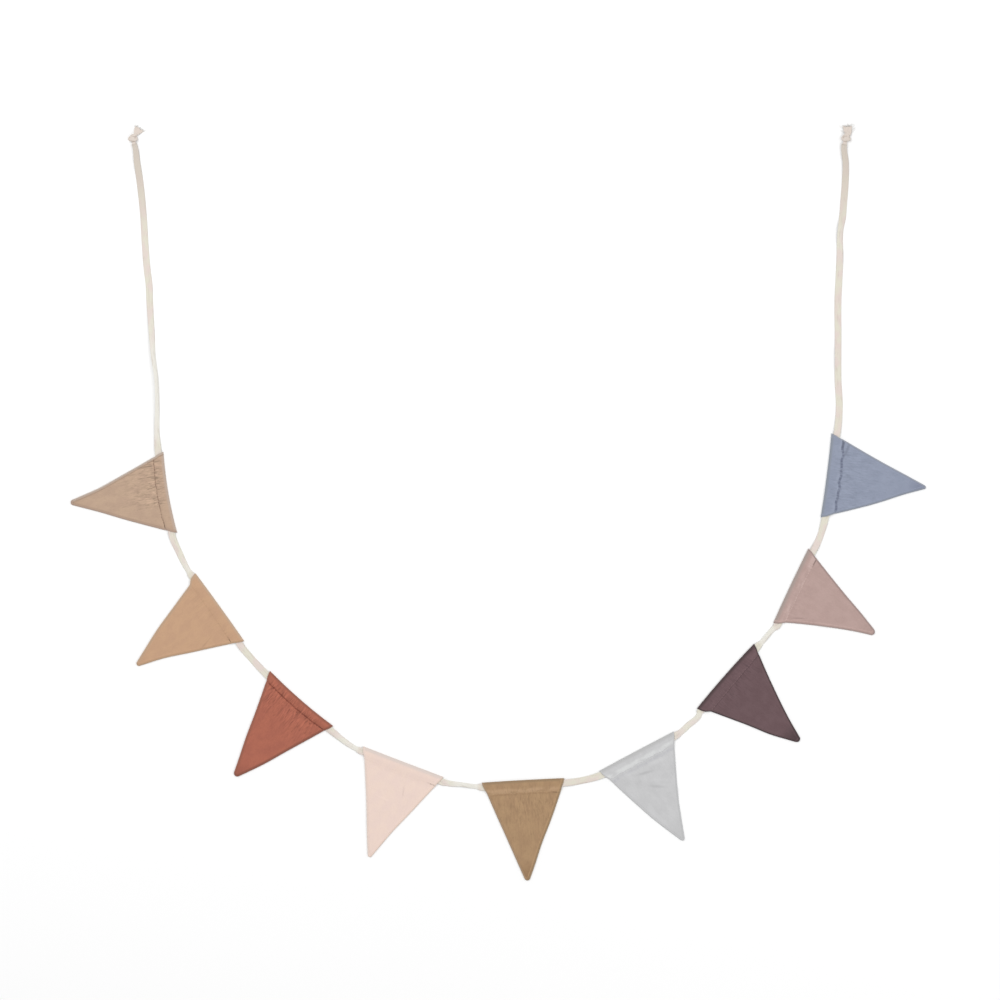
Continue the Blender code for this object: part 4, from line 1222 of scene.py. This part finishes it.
def frayed_threads(name, centre, half_edge, course, splay, seed):
    """Loose threads at a tape's cut end: thin, bent, and lying on the floor, splayed to its sides."""
    chance = Random(seed)
    curve = bpy.data.curves.new(name, "CURVE")
    curve.dimensions = "3D"
    curve.bevel_depth = FRAY_RADIUS
    curve.bevel_resolution = 1
    curve.resolution_u = 3
    curve.use_fill_caps = True
    for k in range(FRAY_THREADS):
        share = (k + chance.uniform(0.1, 0.9)) / FRAY_THREADS * 2 - 1
        inset = FRAY_INSET + SPLAY_INSET * splay * share ** 4
        root = centre + half_edge * share * (0.94 - 0.10 * splay) - course * inset
        length = FRAY_LENGTH * chance.uniform(0.45, 1.25) * (1 + 0.2 * splay)
        fan_out = half_edge.normalized() * (share * (0.35 + splay) + chance.uniform(-0.28, 0.28))
        curl = half_edge.normalized() * chance.uniform(-0.35, 0.35)
        spline = curve.splines.new("BEZIER")
        spline.bezier_points.add(2)
        for n, point in enumerate(spline.bezier_points):
            t = n / 2
            spot = root + (course + fan_out) * length * t + curl * length * t * t
            spot.z = root.z * (1 - t) + FRAY_RADIUS * 1.1 * t + 0.0003 * chance.random() * (n == 1)
            point.co = spot
            point.handle_left_type = point.handle_right_type = "AUTO"
    piece = bpy.data.objects.new(name, curve)
    bpy.context.scene.collection.objects.link(piece)
    only(piece)
    bpy.ops.object.convert(target="MESH")
    piece = bpy.context.object
    weld(piece, 0.00001)
    bpy.ops.object.shade_smooth()
    return piece


class BuntingSizes(bpy.types.PropertyGroup):
    """Sizes of the cloth's finish that a user may change."""
    grid_pitch: FloatProperty(
        name="Cloth grid", description="Distance between points of a pennant's mesh",
        default=0.0009, min=0.0005, max=0.004, precision=4, unit="LENGTH",
    )
    crinkle: FloatProperty(
        name="Crinkle height", description="Height of the gauze's washed crinkle",
        default=0.00016, min=0.0, max=0.001, precision=5, unit="LENGTH",
    )
    stitch_pitch: FloatProperty(
        name="Stitch pitch", description="Distance from one casing stitch to the next",
        default=0.0045, min=0.0015, max=0.008, precision=4, unit="LENGTH",
    )
    tape_step: FloatProperty(
        name="Tape step", description="Distance between the tape's cross sections",
        default=0.0030, min=0.001, max=0.02, precision=4, unit="LENGTH",
    )
    first_seed: IntProperty(
        name="Fray seed", description="Start of the random numbers that bend the frayed threads", default=5,
    )


def colour_property(name, code, about):
    """A colour that a user may change, from an sRGB hex colour."""
    return FloatVectorProperty(
        name=name, description=about, default=hex_colour(code), min=0.0, max=1.0, size=3, subtype="COLOR",
    )


class BuntingColours(bpy.types.PropertyGroup):
    """Colours of the stage and lights that a user may change."""
    floor: colour_property("Floor", "#F6F6F6", "Colour of the painted floor")
    sky: colour_property("Fill light", "#FFFFFF", "Colour of the light from all sides")
    lamp: colour_property("Softbox", "#FFFFFF", "Colour of the two soft lights")


class BUNTING_OT_stage(bpy.types.Operator):
    """Make the camera above the bunting, the pale floor and the soft studio light"""
    bl_idname = "bunting.stage"
    bl_label = "Stage, camera and light"

    def execute(self, context):
        scene = context.scene
        colours = scene.bunting_colours
        camera = bpy.data.objects.new("camera", bpy.data.cameras.new("camera"))
        camera.data.lens = CAMERA_LENS
        camera.data.sensor_width = SENSOR_WIDTH
        camera.location = (*CAMERA_AT, VIEW_WIDTH * CAMERA_LENS / SENSOR_WIDTH)
        scene.collection.objects.link(camera)
        scene.camera = camera

        deselect_all()
        bpy.ops.mesh.primitive_plane_add(size=FLOOR_SIZE)
        floor = context.object
        floor.name = "floor"
        floor.data.materials.append(painted_floor(colours.floor))

        for box in SOFTBOXES:
            light = bpy.data.lights.new(box.name, "AREA")
            light.shape = "SQUARE"
            light.size = box.size
            light.energy = box.power
            light.color = colours.lamp
            lamp = bpy.data.objects.new(box.name, light)
            lamp.location = box.place
            lamp.rotation_euler = (-Vector(box.place)).to_track_quat("-Z", "Y").to_euler()
            scene.collection.objects.link(lamp)

        world = bpy.data.worlds.new("studio")
        world.use_nodes = True
        background = world.node_tree.nodes["Background"]
        background.inputs["Color"].default_value = (*colours.sky, 1.0)
        background.inputs["Strength"].default_value = FILL_LIGHT
        scene.world = world
        scene.view_settings.view_transform = "Standard"
        return {"FINISHED"}


class BUNTING_OT_tape(bpy.types.Operator):
    """Make the woven tape with its two knotted, frayed ends"""
    bl_idname = "bunting.tape"
    bl_label = "Tape and knots"

    def execute(self, context):
        sizes = context.scene.bunting_sizes
        cotton = woven_tape("tie", *TIE_COTTON)
        gathered = woven_tape("knot", *KNOT_COTTON)
        tape, line = tape_piece(sizes)
        dress(tape, cotton)
        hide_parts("tape")
        ends = []
        for side, at, mirror, tail, splay in (
            ("left", LEFT_KNOT_AT, 1, LEFT_TAIL, 0.0),
            ("right", RIGHT_KNOT_AT, -1, RIGHT_TAIL, 1.0),
        ):
            seed = sizes.first_seed + len(ends)
            knot, centre, half_edge, course = knot_piece(side + "_overhand_knot", at, mirror, tail, seed)
            dress(knot, gathered)
            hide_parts("knot_" + side)
            fray = frayed_threads(side + "_frayed_threads", centre, half_edge, course, splay, seed + 40)
            dress(fray, sewing_thread("fray " + side, FRAYED_COTTON))
            ends += [knot, fray]
        return {"FINISHED"}


class BUNTING_OT_pennants(bpy.types.Operator):
    """Make the nine pennants with their casings, rolled sides and stitches"""
    bl_idname = "bunting.pennants"
    bl_label = "Pennants"

    def execute(self, context):
        sizes = context.scene.bunting_sizes
        for number, p in enumerate(PENNANTS, start=1):
            dye_and_shade = DYES_AND_SHADES[p.name]
            cloth = pennant_cloth(p, number, sizes)
            map_pennant(cloth, p)
            gauze = double_gauze(p.name, dye_and_shade, GATHERS[p.name].tint, p.drop, number * 3.0)
            dress(cloth, gauze)
            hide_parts(f"flag_{number}_{p.name}")
            stitches = casing_stitches(p, number, sizes)
            dress(stitches, sewing_thread(p.name, shifted(dye_and_shade.thread, SEEN)))
        return {"FINISHED"}


class BUNTING_PT_panel(bpy.types.Panel):
    """The bunting's pieces and sizes in the sidebar"""
    bl_idname = "BUNTING_PT_panel"
    bl_label = "Fabric bunting"
    bl_space_type = "VIEW_3D"
    bl_region_type = "UI"
    bl_category = "Bunting"

    def draw(self, context):
        for operator in OPERATORS:
            self.layout.operator(operator.bl_idname)
        for group in (context.scene.bunting_sizes, context.scene.bunting_colours):
            for key in group.__annotations__:
                self.layout.prop(group, key)


OPERATORS = (BUNTING_OT_stage, BUNTING_OT_tape, BUNTING_OT_pennants)
CLASSES = (BuntingSizes, BuntingColours, *OPERATORS, BUNTING_PT_panel)


def register():
    for cls in CLASSES:
        bpy.utils.register_class(cls)
    bpy.types.Scene.bunting_sizes = PointerProperty(type=BuntingSizes)
    bpy.types.Scene.bunting_colours = PointerProperty(type=BuntingColours)


def unregister():
    del bpy.types.Scene.bunting_colours
    del bpy.types.Scene.bunting_sizes
    for cls in reversed(CLASSES):
        bpy.utils.unregister_class(cls)


def main():
    """Make every piece."""
    register()
    bpy.ops.bunting.stage()
    bpy.ops.bunting.tape()
    bpy.ops.bunting.pennants()


if __name__ == "__main__":
    main()
